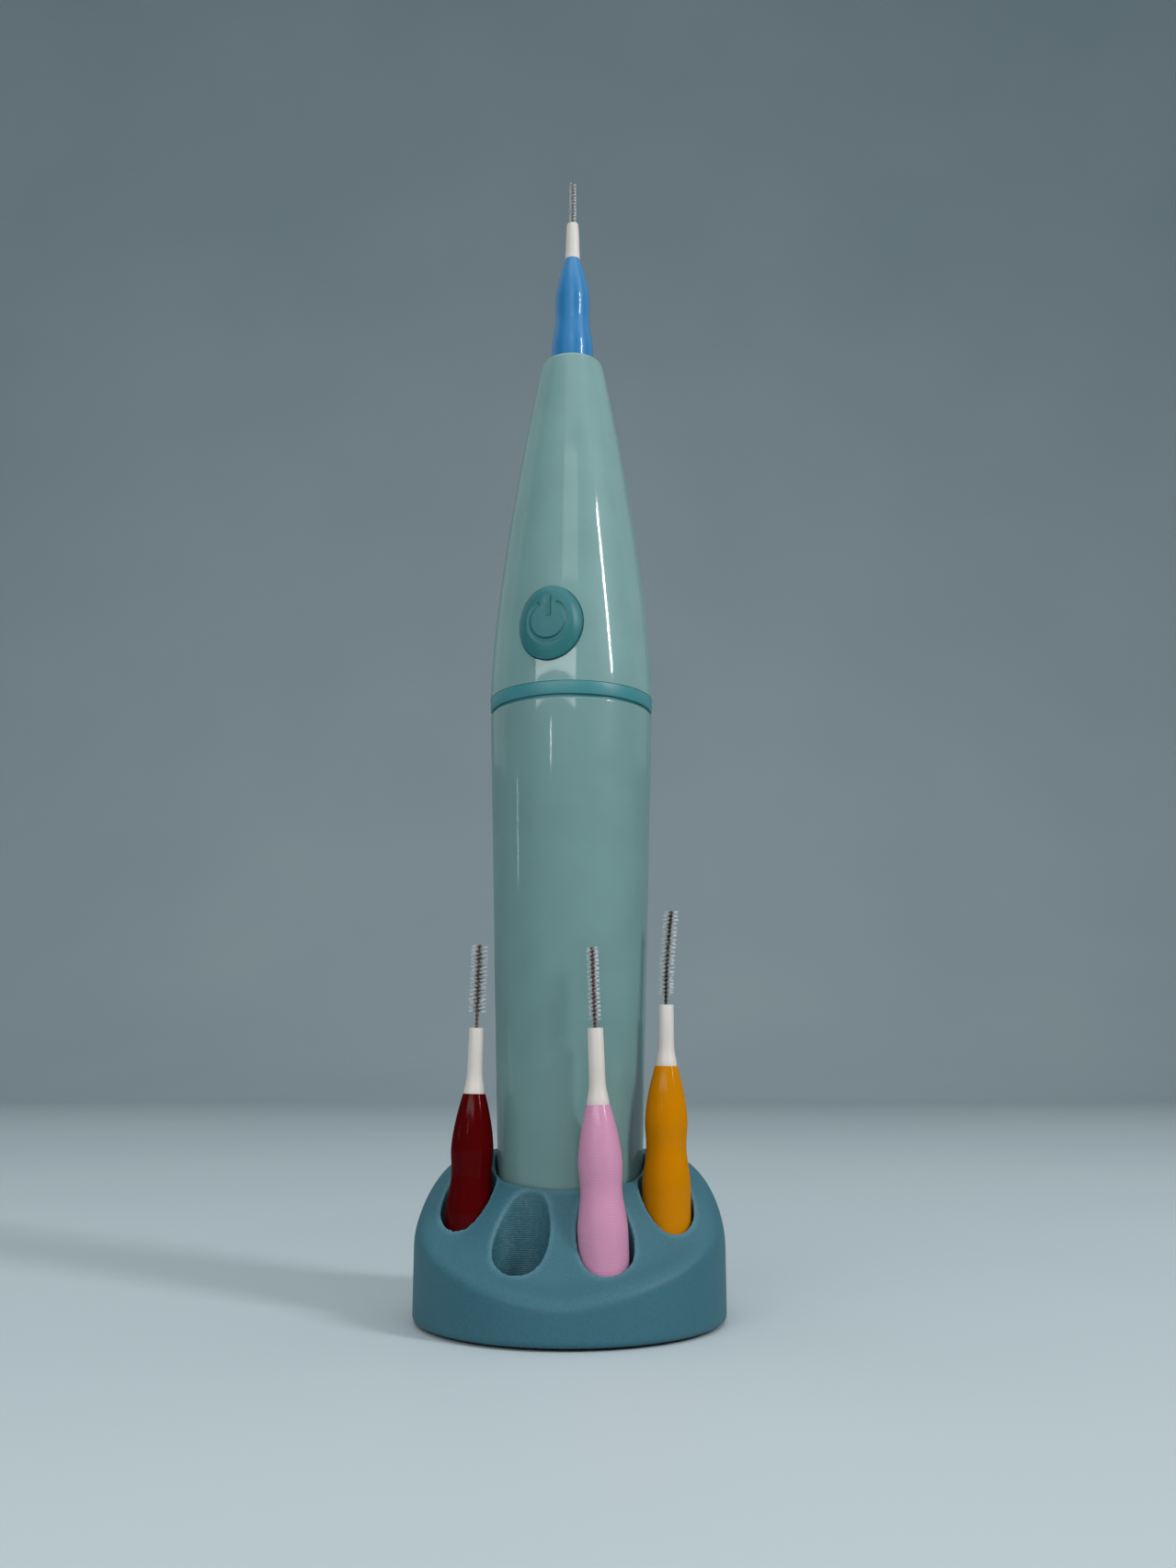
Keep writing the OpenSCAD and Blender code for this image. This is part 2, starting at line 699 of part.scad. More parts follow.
module motor_can() {
    color(steel) motor_place(motor_z) difference() {
        union() {
            linear_extrude(motor_h) motor_outline(0);
            cylinder(r = motor_boss_r, h = motor_h + motor_boss_h);
        }
        translate([0, 0, -over]) linear_extrude(motor_h + over - can_wall) motor_outline(can_wall);
        cylinder(r = shaft_r + run_gap, h = motor_h + motor_boss_h + over);
    }
}

module motor_magnets() {
    color(dark_rubber) motor_place(magnet_z) linear_extrude(magnet_h) intersection() {
        difference() {
            circle(r = motor_r - can_wall - seat_gap);
            circle(r = motor_r - can_wall - magnet_t);
        }
        square([2 * motor_r, motor_flats - 2 * can_wall - 2 * free_gap], center = true);
    }
}

module motor_end_cap() {
    tab = can_wall;
    color(white_plastic) motor_place(end_cap_z) {
        difference() {
            linear_extrude(end_cap_h) motor_outline(0);
            translate([0, 0, -over]) cylinder(r = shaft_r + run_gap, h = end_cap_h + 2 * over);
        }
        for (s = [-1, 1])
            translate([s * motor_r * tab_out_share - tab, -tab / 2, -end_cap_h * tab_h_share])
                cube([2 * tab, tab, end_cap_h]);
    }
}

module motor_rotor() {
    core_h = magnet_h - 2 * free_gap;
    color(steel) motor_place(0) {
        translate([0, 0, end_cap_z]) cylinder(r = shaft_r, h = gear_z + gear_t - end_cap_z);
        translate([0, 0, magnet_z + free_gap]) cylinder(r = rotor_r, h = core_h);
        translate([0, 0, motor_z + free_gap]) cylinder(r = rotor_r / 3, h = magnet_z - motor_z);
    }
}

// Gears: involute teeth, drawn from the module, with free play on each flank
function inv(a) = tan(a) * 180 / PI - a;
function flank_angle(pitch_r, r, teeth, play) =
    let (base_r = pitch_r * cos(pressure_angle), q = max(r, base_r))
    90 / teeth + inv(pressure_angle) - inv(acos(base_r / q)) - play / pitch_r * 180 / PI;
flank_steps = 3;
function gear_points(teeth, top, root, play) =
    let (pitch_r = gear_module * teeth / 2, base_r = pitch_r * cos(pressure_angle),
        low = max(pitch_r - root, base_r), high = pitch_r + top,
        radii = [for (k = [0:flank_steps]) low + (high - low) * k / flank_steps])
    [for (t = [0:teeth - 1]) let (c = 360 * t / teeth) each concat(
        [let (a = c - flank_angle(pitch_r, low, teeth, play)) (pitch_r - root) * [cos(a), sin(a)]],
        [for (r = radii) let (a = c - flank_angle(pitch_r, r, teeth, play)) r * [cos(a), sin(a)]],
        [for (k = [0:flank_steps]) let (r = radii[flank_steps - k],
            a = c + flank_angle(pitch_r, r, teeth, play)) r * [cos(a), sin(a)]],
        [let (a = c + flank_angle(pitch_r, low, teeth, play)) (pitch_r - root) * [cos(a), sin(a)]])];

module outer_gear(teeth) {
    polygon(gear_points(teeth, gear_module * tooth_top_share, gear_module * tooth_root_share, tooth_play));
}

module sun_gear() {
    color(brass) translate([0, 0, gear_z]) linear_extrude(gear_t) difference() {
        outer_gear(sun_teeth);
        circle(r = shaft_r + seat_gap);
    }
}

module planet_gear(k) {
    color(white_plastic) rotate([0, 0, 360 * k / planet_count]) translate([gear_arm, 0, gear_z])
        linear_extrude(gear_t) difference() {
            rotate(180 / planet_teeth) outer_gear(planet_teeth);
            circle(r = planet_pin_r + run_gap);
        }
}

module planet_gear_a() { planet_gear(0); }
module planet_gear_b() { planet_gear(1); }
module planet_gear_c() { planet_gear(2); }

// Round case with a lug for each screw
module lugged_disc() {
    web = lug_r * lug_web_share;
    circle(r = case_r);
    for (a = gear_screw_angles) rotate(-button_turn - 90 + a) {
        translate([lug_circle, 0]) circle(r = lug_r);
        translate([0, -web / 2]) square([lug_circle, web]);
    }
}

module at_gear_screws() {
    for (a = gear_screw_angles)
        rotate([0, 0, -button_turn - 90 + a]) translate([lug_circle, 0, 0]) children();
}

ring_clear_r = gear_module * (ring_teeth / 2 + tooth_root_share) + slip_gap;
module ring_gear() {
    color(white_plastic) difference() {
        translate([0, 0, deck_top]) linear_extrude(case_top - deck_top) lugged_disc();
        translate([0, 0, deck_top - over]) linear_extrude(gear_z + gear_t - deck_top + 2 * over)
            rotate(180 / ring_teeth) polygon(gear_points(ring_teeth, gear_module * tooth_root_share,
                gear_module * tooth_top_share, -tooth_play));
        translate([0, 0, gear_z + gear_t]) cylinder(r = ring_clear_r, h = case_top);
        at_gear_screws() cylinder(r = gear_screw_r + slip_gap, h = case_top + over);
    }
}

module gear_cover() {
    color(white_plastic) difference() {
        translate([0, 0, case_top]) union() {
            linear_extrude(cover_plate_t) lugged_disc();
            cylinder(r = boss_r, h = cover_plate_t + boss_h);
        }
        translate([0, 0, case_top - over])
            cylinder(r = spindle_r + run_gap, h = cover_plate_t + boss_h + 2 * over);
        at_gear_screws() cylinder(r = gear_screw_r + slip_gap, h = case_top + cover_plate_t + over);
    }
}

module gear_screws() {
    head_z = case_top + cover_plate_t;
    low = deck_z + slip_gap;
    color(steel) at_gear_screws() difference() {
        union() {
            translate([0, 0, low]) cylinder(r = gear_screw_r, h = head_z - low);
            translate([0, 0, head_z]) cylinder(r = gear_screw_head_r, h = gear_screw_head_h);
        }
        translate([0, 0, head_z + gear_screw_head_h / 2])
            cylinder(r = gear_screw_head_r / 2, h = over, $fn = 6);
    }
}

// Spindle outline with one flat
module flatted(r) {
    difference() {
        circle(r = r);
        translate([r - tip_flat, -r]) square(2 * r);
    }
}

module planet_carrier() {
    color(brass) difference() {
        union() {
            translate([0, 0, carrier_z]) cylinder(r = carrier_r, h = carrier_t);
            for (k = [0:planet_count - 1]) rotate([0, 0, 360 * k / planet_count])
                translate([gear_arm, 0, gear_z])
                    cylinder(r = planet_pin_r, h = carrier_z + carrier_t - gear_z);
        }
        translate([0, 0, carrier_z - over])
            linear_extrude(carrier_t + 2 * over) flatted(spindle_r + seat_gap);
    }
}

module drive_spindle() {
    color(steel) {
        translate([0, 0, carrier_z]) linear_extrude(carrier_t) flatted(spindle_r);
        translate([0, 0, carrier_z + carrier_t])
            cylinder(r = spindle_r, h = head_z - collar_h - carrier_z - carrier_t);
        translate([0, 0, head_z - collar_h]) cylinder(r = collar_r, h = collar_h);
        translate([0, 0, head_z]) linear_extrude(tip_depth) flatted(tip_r);
    }
}

module nose_bush() {
    color(brass) translate([0, 0, bush_z]) pipe(bush_r, spindle_r + run_gap, bush_h);
}

module nose_seal() {
    color(dark_rubber) translate([0, 0, bush_top]) pipe(bush_r, spindle_r + run_gap, seal_t);
}

// Frame: spigot in the tube's mouth, deck for the motor and gears, cradle and board posts
module motor_frame() {
    spigot_z = tube_z + tube_h - mouth_h + over;
    cradle_r = motor_r + slip_gap + cradle_wall;
    arm_w = motor_flats * cradle_arm_share;
    color(white_plastic) difference() {
        union() {
            translate([0, 0, spigot_z]) cylinder(r = frame_r, h = deck_top - spigot_z);
            translate([0, 0, deck_top]) pipe(frame_r, frame_r - frame_lip_wall, frame_lip_h);
            motor_place(0) intersection() {
                translate([0, 0, cradle_z]) cylinder(r = cradle_r, h = spigot_z - cradle_z + over);
                translate([-cradle_r, -arm_w / 2, cradle_z])
                    cube([2 * cradle_r, arm_w, spigot_z - cradle_z + over]);
            }
            motor_place(0) board_posts();
        }
        motor_place(cradle_z + cradle_plate_t)
            cylinder(r = motor_r + slip_gap, h = deck_z - cradle_z - cradle_plate_t);
        motor_place(deck_z - over) cylinder(r = motor_boss_r + slip_gap, h = deck_t + 2 * over);
        translate([0, 0, seal_z]) rotate_extrude() seal_groove();
        at_gear_screws() cylinder(r = gear_screw_r + seat_gap, h = deck_top + over);
    }
}

// Section of the seal ring's groove in the frame's rim
module seal_groove() {
    half = seal_wire_r * seal_groove_half_share;
    translate([frame_r - seal_wire_r * seal_groove_depth_share, -half]) square([4 * seal_wire_r, 2 * half]);
}

module board_posts() {
    half = board_w / 2;
    slot = board_t + 2 * slip_gap;
    for (s = [-1, 1]) difference() {
        translate([s * half - post_w, -board_in - board_t - post_w / 2, deck_top - slip_gap])
            cube([2 * post_w, post_depth, post_h]);
        translate([-half - slip_gap, -board_in - board_t - slip_gap, board_z - slip_gap])
            cube([board_w + 2 * slip_gap, slot, post_h]);
    }
}

module positive_contact() {
    color(brass) translate([0, 0, contact_z]) cylinder(r = nub_r * contact_share, h = plate_t);
}

// Brush heads: k is 0 for blue in the nose, 1 for red, 2 for pink, 3 for yellow
module head_place(k) {
    if (k == 0) translate([0, 0, head_z]) children();
    else translate(from_front(socket_circle, socket_angles[head_sockets[k]]))
        translate([0, 0, socket_floors[head_sockets[k]]]) children();
}
head_sockets = [1, 0, 2, 3];

// Radius of the grip at a share of its height: plain foot, waist, bulge, taper
function grip_radius(s, k) =
    s < base_share ? grip_r
    : s < waist_share ? grip_r + (waist_r - grip_r) * ease((s - base_share) / (waist_share - base_share))
    : s < bulge_share ? waist_r + (bulge_r - waist_r) * ease((s - waist_share) / (bulge_share - waist_share))
    : bulge_r - (bulge_r - grip_tops[k]) * pow((s - bulge_share) / (1 - bulge_share), grip_power);

grip_steps = 32;
module grip(k) {
    foot_edge = grip_r / 8;
    color(grip_colours[k]) head_place(k) difference() {
        rotate_extrude() polygon(concat([[0, 0], [grip_r - foot_edge, 0]],
            [for (i = [0:grip_steps]) let (h = foot_edge + (grip_h - foot_edge) * i / grip_steps)
                [grip_radius(h / grip_h, k), h]],
            [[0, grip_h]]));
        translate([0, 0, -over]) linear_extrude(tip_depth + slip_gap + over) flatted(tip_r + run_gap);
        translate([0, 0, grip_h - stem_h]) cylinder(r = stem_r + seat_gap, h = stem_h + over);
    }
}

module neck(k) {
    top = neck_lengths[k];
    edge = neck_tops[k] / 6;
    bore = wire_r + seat_gap;
    color(white_plastic) head_place(k) translate([0, 0, grip_h]) rotate_extrude() polygon([
        [0, -stem_h], [stem_r, -stem_h], [stem_r, 0], [grip_tops[k] - edge, 0],
        [neck_r + (grip_tops[k] - neck_r) / 4, neck_flare_h / 2], [neck_r, neck_flare_h],
        [neck_tops[k] + edge, top - edge], [neck_tops[k], top],
        [bore, top], [bore, top - wire_seat_h], [0, top - wire_seat_h]]);
}

// One bristle: a tapering three-sided strand rooted inside the wire
module strand(reach) {
    sides = 3;
    function strand_ring(x, r) = [for (j = [0:sides - 1]) let (a = 360 * j / sides)
        [x, r * cos(a), r * sin(a)]];
    polyhedron(
        points = concat(strand_ring(wire_r * strand_root_share, bristle_r),
            strand_ring(reach, bristle_r * strand_taper_share)),
        faces = [[0, 1, 2], [5, 4, 3], [0, 3, 1], [1, 3, 4], [1, 4, 2], [2, 4, 5], [2, 5, 0], [0, 5, 3]]);
}

module brush(k) {
    full = wire_lengths[k] - bare_lengths[k];
    pairs = floor(full / bristle_row_h);
    color(wire_colours[k]) head_place(k) translate([0, 0, grip_h + neck_lengths[k]]) {
        translate([0, 0, -wire_seat_h]) cylinder(r = wire_r, h = wire_lengths[k] + wire_seat_h);
        for (i = [0:pairs - 1], side = [0, 180])
            translate([0, 0, bare_lengths[k] + bristle_row_h * (i + 0.5)])
                rotate([0, 0, i * strand_turn + side]) strand(bristle_radii[k]);
    }
}

module blue_grip() { grip(0); }
module blue_neck() { neck(0); }
module blue_brush() { brush(0); }
module red_grip() { grip(1); }
module red_neck() { neck(1); }
module red_brush() { brush(1); }
module pink_grip() { grip(2); }
module pink_neck() { neck(2); }
module pink_brush() { brush(2); }
module yellow_grip() { grip(3); }
module yellow_neck() { neck(3); }
module yellow_brush() { brush(3); }

stand_body();
weight_plate();
base_cover();
foot_ring();
base_screws();
battery_tube();
battery_guide();
battery_cell();
negative_spring();
negative_plate();
contact_strip();
accent_ring();
seal_ring();
head_housing();
motor_frame();
positive_contact();
motor_can();
motor_magnets();
motor_end_cap();
motor_rotor();
sun_gear();
planet_gear_a();
planet_gear_b();
planet_gear_c();
ring_gear();
gear_cover();
gear_screws();
planet_carrier();
drive_spindle();
nose_bush();
nose_seal();
switch_board();
button_switch();
power_button();
blue_grip();
blue_neck();
blue_brush();
red_grip();
red_neck();
red_brush();
pink_grip();
pink_neck();
pink_brush();
yellow_grip();
yellow_neck();
yellow_brush();
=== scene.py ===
# %% [markdown]
# # A powered interdental brush in its stand
#
# The object is a slim battery handle that turns a tiny bottle brush for cleaning between teeth. It stands
# in a round stand, with three spare brush heads in sockets at its front. The engineering model is loaded as
# a fixed frame, and this lesson dresses it: every surface gets its finish, and the pieces whose looks need
# finer meshes are modelled anew in exactly the same place.

# %% Load the frame
import math
import random

import bmesh
import bpy
from mathutils import Matrix, Vector


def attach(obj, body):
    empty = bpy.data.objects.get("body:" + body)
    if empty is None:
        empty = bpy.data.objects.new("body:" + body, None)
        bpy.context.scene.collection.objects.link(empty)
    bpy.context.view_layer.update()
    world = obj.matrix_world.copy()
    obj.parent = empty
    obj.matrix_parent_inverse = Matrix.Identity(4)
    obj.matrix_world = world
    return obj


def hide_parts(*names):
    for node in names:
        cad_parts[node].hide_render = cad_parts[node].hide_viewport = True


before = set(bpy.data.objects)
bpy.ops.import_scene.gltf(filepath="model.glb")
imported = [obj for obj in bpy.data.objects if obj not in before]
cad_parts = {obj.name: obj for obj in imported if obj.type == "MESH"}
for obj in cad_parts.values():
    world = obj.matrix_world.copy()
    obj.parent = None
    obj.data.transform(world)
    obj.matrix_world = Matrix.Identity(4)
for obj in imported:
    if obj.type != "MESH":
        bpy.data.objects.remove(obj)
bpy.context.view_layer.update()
mm = 0.001

# %% [markdown]
# ## The camera first
#
# The photograph was taken from a little above the stand, looking slightly up, so the handle's sides lean
# together towards the top. Matching that lens and tilt first makes every later comparison fair. The numbers
# come from fitting the curved edges of the ring and the stand.

# %% Camera
photo_height_px = 1706
focal_px = 1428.0
camera_distance = 213.9 * mm
camera_height = 39.2 * mm
camera_side = 2.8 * mm
camera_pitch = 0.2058

camera_data = bpy.data.cameras.new("camera")
camera_data.sensor_width = 36.0
camera_data.lens = camera_data.sensor_width * focal_px / photo_height_px
camera_data.clip_start = 1 * mm
camera = bpy.data.objects.new("camera", camera_data)
camera.location = (camera_side, -camera_distance, camera_height)
camera.rotation_euler = (math.pi / 2 + camera_pitch, 0, 0)
bpy.context.scene.collection.objects.link(camera)
bpy.context.scene.camera = camera
print("lens", round(camera_data.lens, 2), "mm")

# %% [markdown]
# ## Light for a glossy, slender thing
#
# A glossy turned body shows its form by the lights it mirrors. The photograph has one long bright streak on
# the right of the housing, a faint narrow one on the tube left of the middle, and a thin line at the tube's
# left edge. Slim area lamps make such streaks: a lamp at twice the angle of the streak's normal is mirrored
# exactly there. The right streak stops at the ring, because the tube's wall leans the other way, so its
# lamp starts just above the direction that the tube would mirror.

# %% Lamp helper
handle_middle = Vector((0, 0, 110 * mm))


def direction(azimuth, elevation):
    """Unit vector towards a place round the handle; azimuth 0 is the front, positive to the right."""
    a, e = math.radians(azimuth), math.radians(elevation)
    return Vector((math.sin(a) * math.cos(e), -math.cos(a) * math.cos(e), math.sin(e)))


def strip_lamp(name, low, high, width, power, distance=0.9, colour=(1, 1, 1)):
    """Rectangular lamp from one (azimuth, elevation) to another, seen from the middle of the handle."""
    low, high = (direction(*end) * distance for end in (low, high))
    data = bpy.data.lights.new(name, "AREA")
    data.shape = "RECTANGLE"
    data.size = width
    data.size_y = (high - low).length
    data.energy = power
    data.color = colour
    outwards = (low + high).normalized()
    along = (high - low).normalized()
    across = along.cross(outwards).normalized()
    lamp = bpy.data.objects.new(name, data)
    axes = Matrix((across, outwards.cross(across), outwards)).transposed().to_4x4()
    lamp.matrix_world = Matrix.Translation((low + high) / 2 + handle_middle) @ axes
    bpy.context.scene.collection.objects.link(lamp)


print("straight ahead is", tuple(round(v, 3) for v in direction(0, 0)))

# %% [markdown]
# Besides the slim lamps there are two broad weak ones for the haze round the button, and large soft ones
# that light the whole from the front, the sides and above. The ends are angles in degrees, and distances
# and widths are in metres. A dim blue-grey sky fills the shadows.

# %% Lamps and sky
lamps = {
    "window_right": dict(low=(60, 18.5), high=(51, 39), width=0.034, power=4.0),
    "strip_left": dict(low=(-28, 7.8), high=(-28, 14.6), width=0.009, power=0.17),
    "edge_left": dict(low=(-82, 2), high=(-82, 7.6), width=0.004, power=0.05),
    "haze_low": dict(low=(-22, 18.8), high=(-22, 26), width=0.92, power=2.6),
    "haze_high": dict(low=(-2, 33), high=(-2, 46), width=0.34, power=0.5),
    "soft_front": dict(low=(15, 48), high=(15, 75), distance=1.1, width=0.9, power=1.2),
    "soft_left": dict(low=(-125, 10), high=(-120, 60), distance=1.0, width=0.7, power=0.7,
                      colour=(0.93, 0.98, 1.0)),
    "soft_right": dict(low=(120, 10), high=(120, 60), distance=1.0, width=0.6, power=0.6),
    "soft_top": dict(low=(10, 60), high=(190, 65), distance=1.1, width=0.9, power=3.0,
                     colour=(1.0, 0.99, 0.97)),
}
for name, settings in lamps.items():
    strip_lamp(name, **settings)

world = bpy.data.worlds.new("studio")
world.use_nodes = True
sky = world.node_tree.nodes["Background"]
sky.inputs["Color"].default_value = (0.60, 0.74, 0.80, 1)
sky.inputs["Strength"].default_value = 0.35
bpy.context.scene.world = world
print("lamps:", len(lamps))

# %% [markdown]
# ## Node helpers for finishes
#
# Each finish is a small graph of nodes round one Principled shader. The first helpers turn a colour as it
# is read off a screen into the linear numbers that a shader wants, make a darker version of it, and start a
# material or a node.

# %% Colours and new finishes
def linear(red, green, blue):
    """Shader colour from a colour as it is read off a screen, 0 to 255."""
    def channel(value):
        value /= 255
        return value / 12.92 if value <= 0.04045 else ((value + 0.055) / 1.055) ** 2.4
    return (channel(red), channel(green), channel(blue), 1)


def darkened(colour, share):
    """The same colour with only a share of its light."""
    return tuple(c * share for c in colour[:3]) + (1,)


def set_sockets(node, sockets):
    """Sets sockets of a node, named with _ for a space."""
    for name, value in sockets.items():
        node.inputs[name.replace("_", " ")].default_value = value


def start_finish(name, **sockets):
    """A new material, its nodes and its Principled shader with some sockets set."""
    material = bpy.data.materials.new(name)
    material.use_nodes = True
    shader = material.node_tree.nodes["Principled BSDF"]
    set_sockets(shader, sockets)
    return material, material.node_tree, shader


def add_node(tree, kind, **sockets):
    """New node of a kind with some sockets set."""
    node = tree.nodes.new("ShaderNode" + kind)
    set_sockets(node, sockets)
    return node


print("middle grey of a screen is", round(linear(128, 128, 128)[0], 3), "in a shader")

# %% [markdown]
# Patterns come next. They read Object coordinates, and because the objects are in metres, the size of a
# pattern's lumps is a real size. The level bands are the fine lines of a printed body.

# %% Patterns
def coordinates(tree, scale=(1, 1, 1)):
    """Object coordinates, stretched by a scale for each axis."""
    where = add_node(tree, "TexCoord")
    mapping = add_node(tree, "Mapping", Scale=scale)
    tree.links.new(where.outputs["Object"], mapping.inputs["Vector"])
    return mapping.outputs["Vector"]


def noise(tree, grain, detail=2.0, roughness=0.5, scale=(1, 1, 1)):
    """A noise pattern whose lumps are about grain metres across."""
    pattern = add_node(tree, "TexNoise", Scale=1 / grain, Detail=detail, Roughness=roughness)
    tree.links.new(coordinates(tree, scale), pattern.inputs["Vector"])
    return pattern.outputs["Fac"]


def layer_lines(tree, pitch):
    """Fine level bands of a printed body, pitch metres apart up the object."""
    # at scale 1 the bands of this node are pi / 10 metres apart
    scale = math.pi / 10 / pitch
    wave = add_node(tree, "TexWave", Scale=scale, Distortion=0.4, Detail=1.0, Detail_Scale=3.0)
    wave.wave_type = "BANDS"
    wave.bands_direction = "Z"
    wave.wave_profile = "SIN"
    tree.links.new(coordinates(tree), wave.inputs["Vector"])
    return wave.outputs["Fac"]


def marked(tree, name):
    """Number that a piece carries on its own points."""
    source = add_node(tree, "Attribute")
    source.attribute_name = name
    return source.outputs["Fac"]


print("patterns ready, all in metres")

# %% [markdown]
# A pattern is a number at every point. A ramp between two shades turns it into a colour, and a change of
# range turns it into another number, such as a roughness that wanders a little.

# %% Colours and numbers from a pattern
def blend_by(tree, factor, low, high, first, second):
    """Colour that goes from first to second as factor goes from low to high."""
    ramp = add_node(tree, "ValToRGB")
    ramp.color_ramp.elements[0].position = low
    ramp.color_ramp.elements[1].position = high
    ramp.color_ramp.elements[0].color = first
    ramp.color_ramp.elements[1].color = second
    tree.links.new(factor, ramp.inputs["Fac"])
    return ramp.outputs["Color"]


def colour_by(tree, shader, factor, low, high, first, second):
    """Leads such a blend to the shader as its colour."""
    tree.links.new(blend_by(tree, factor, low, high, first, second), shader.inputs["Base Color"])


def spread(tree, factor, low, high, from_low=0.0, from_high=1.0):
    """Number that goes from low to high as factor goes between its own limits."""
    span = add_node(tree, "MapRange", From_Min=from_low, From_Max=from_high, To_Min=low, To_Max=high)
    tree.links.new(factor, span.inputs["Value"])
    return span.outputs["Result"]


print("patterns can drive colours and numbers")

# %% [markdown]
# Patterns can also be multiplied, a plain colour such as dust can be laid over another, and a pattern can
# work as a bump, which only bends the light. Bumps laid over each other add up.

# %% Layers and bumps
def product(tree, first, second):
    """Two numbers multiplied."""
    times = add_node(tree, "Math")
    times.operation = "MULTIPLY"
    tree.links.new(first, times.inputs[0])
    tree.links.new(second, times.inputs[1])
    return times.outputs["Value"]


def laid_over(tree, factor, below, colour):
    """A plain colour laid over a patterned one, as dense as the factor says."""
    mix = add_node(tree, "Mix")
    mix.data_type = "RGBA"
    tree.links.new(factor, mix.inputs["Factor"])
    tree.links.new(below, mix.inputs["A"])
    mix.inputs["B"].default_value = colour
    return mix.outputs["Result"]


def add_bump(tree, shader, height, depth, strength=1.0, under=None):
    """Bump from a height pattern, depth metres deep, laid over an earlier bump if one is given."""
    bump = add_node(tree, "Bump", Distance=depth, Strength=strength)
    tree.links.new(height, bump.inputs["Height"])
    if under is not None:
        tree.links.new(under, bump.inputs["Normal"])
    tree.links.new(bump.outputs["Normal"], shader.inputs["Normal"])
    return bump.outputs["Normal"]


print("helpers ready")

# %% [markdown]
# ## Painted and moulded plastic
#
# The tube and the housing share one glossy mint paint, with a clear coat over a satin base, so its streaks
# have a sharp core and a soft edge. The tube's copy of the paint is darker, a painted shade for the lesser
# light that falls on the tube. The grips are painted thinly over a printed body, and the printing lines
# still show as tiny level ridges. Every plastic gets a faint change of roughness, because nothing real is
# perfectly even.

# %% Plastic helper
cloud_grain = 9 * mm
gloss_grain = 0.8 * mm
skin_grain = 0.35 * mm
skin_depth = 0.004 * mm
print_pitch = 0.2 * mm
cloud_shade = 0.93


def paint(name, colour, roughness, coat=0.0, coat_roughness=0.05, lines=0.0, shine=0.5):
    """Coloured plastic: uneven shade and roughness, optional clear coat, printing lines of a given depth."""
    material, tree, shader = start_finish(name, Coat_Weight=coat, Coat_Roughness=coat_roughness,
                                          Specular_IOR_Level=shine)
    base = linear(*colour)
    clouds = noise(tree, cloud_grain, detail=3.0)
    colour_by(tree, shader, clouds, 0.35, 0.65, darkened(base, cloud_shade), base)
    gloss = noise(tree, gloss_grain, detail=4.0, roughness=0.6)
    tree.links.new(spread(tree, gloss, roughness * 0.9, roughness * 1.12), shader.inputs["Roughness"])
    under = add_bump(tree, shader, noise(tree, skin_grain, detail=3.0), skin_depth, 0.6)
    if lines:
        add_bump(tree, shader, layer_lines(tree, print_pitch), lines, 1.0, under)
    return material


print("printing lines", round(print_pitch / mm, 2), "mm apart")

# %% [markdown]
# The colours were read off the photograph in even light and then corrected by comparing renders with it.
# The strong colours get little shine of their own, because a grey reflection would make them look dusty.

# %% Plastics
mint = dict(roughness=0.45, coat=0.5, coat_roughness=0.06, lines=0.0015 * mm, shine=0.2)
mint_paint = paint("mint_paint", (112, 147, 145), **mint)
# The tube's darker copy of the mint is a painted shade for the lesser light on the tube.
mint_painted_shade = paint("mint_painted_shade", (106, 139, 138), **mint)
teal_satin = paint("teal_satin", (33, 106, 110), 0.42, shine=0.35)
ring_satin = paint("ring_satin", (52, 124, 130), 0.40)
white_moulded = paint("white_moulded", (226, 217, 210), 0.42)
neck_white = paint("neck_white", (206, 197, 190), 0.40)
black_moulded = paint("black_moulded", (24, 25, 27), 0.45)

smooth_lines = 0.014 * mm
clear_lines = 0.018 * mm
blue_paint = paint("blue_paint", (12, 112, 168), 0.36, 0.35, 0.12, lines=smooth_lines, shine=0.3)
red_paint = paint("red_paint", (76, 1, 3), 0.45, 0.11, 0.12, lines=clear_lines, shine=0.0)
pink_paint = paint("pink_paint", (200, 138, 170), 0.42, 0.30, 0.14, lines=clear_lines, shine=0.2)
yellow_paint = paint("yellow_paint", (194, 121, 0), 0.42, 0.13, 0.12, lines=clear_lines, shine=0.0)
print("materials so far:", len(bpy.data.materials))

# %% [markdown]
# The stand is a heavier, matter material. Seen close it has a very fine speckle. The upward-facing lips of
# its sockets and of the cup get a lighter colour, a painted highlight, and the sockets' own walls are left
# rough, with printing lines and pale dust. The stand's mesh will carry two numbers on its points, one for the
# lips and one for the sockets, and this material reads them.

# %% Slate
slate_matte, tree, shader = start_finish("slate_matte", Specular_IOR_Level=0.38)
speckle = noise(tree, 0.22 * mm, detail=5.0, roughness=0.7)
slate_colour = blend_by(tree, speckle, 0.35, 0.72, linear(40, 88, 101), linear(56, 107, 121))

inside = marked(tree, "inside")
dust_grain = noise(tree, 0.5 * mm, detail=5.0, roughness=0.75)
dust = product(tree, spread(tree, dust_grain, 0.0, 0.5, 0.48, 0.72), inside)
slate_colour = laid_over(tree, dust, slate_colour, linear(104, 126, 124))
# Painted highlight: a lighter colour laid on the upward-facing lips.
lip_highlight = product(tree, marked(tree, "lip"), spread(tree, speckle, 0.25, 0.6, 0.35, 0.65))
slate_colour = laid_over(tree, lip_highlight, slate_colour, linear(98, 140, 154))
tree.links.new(slate_colour, shader.inputs["Base Color"])

tree.links.new(spread(tree, speckle, 0.48, 0.64), shader.inputs["Roughness"])
under = add_bump(tree, shader, noise(tree, 0.4 * mm, detail=4.0), 0.012 * mm, 0.7)
socket_lines = product(tree, layer_lines(tree, 0.3 * mm), inside)
add_bump(tree, shader, socket_lines, 0.025 * mm, 1.0, under)
print("slate nodes:", len(tree.nodes))

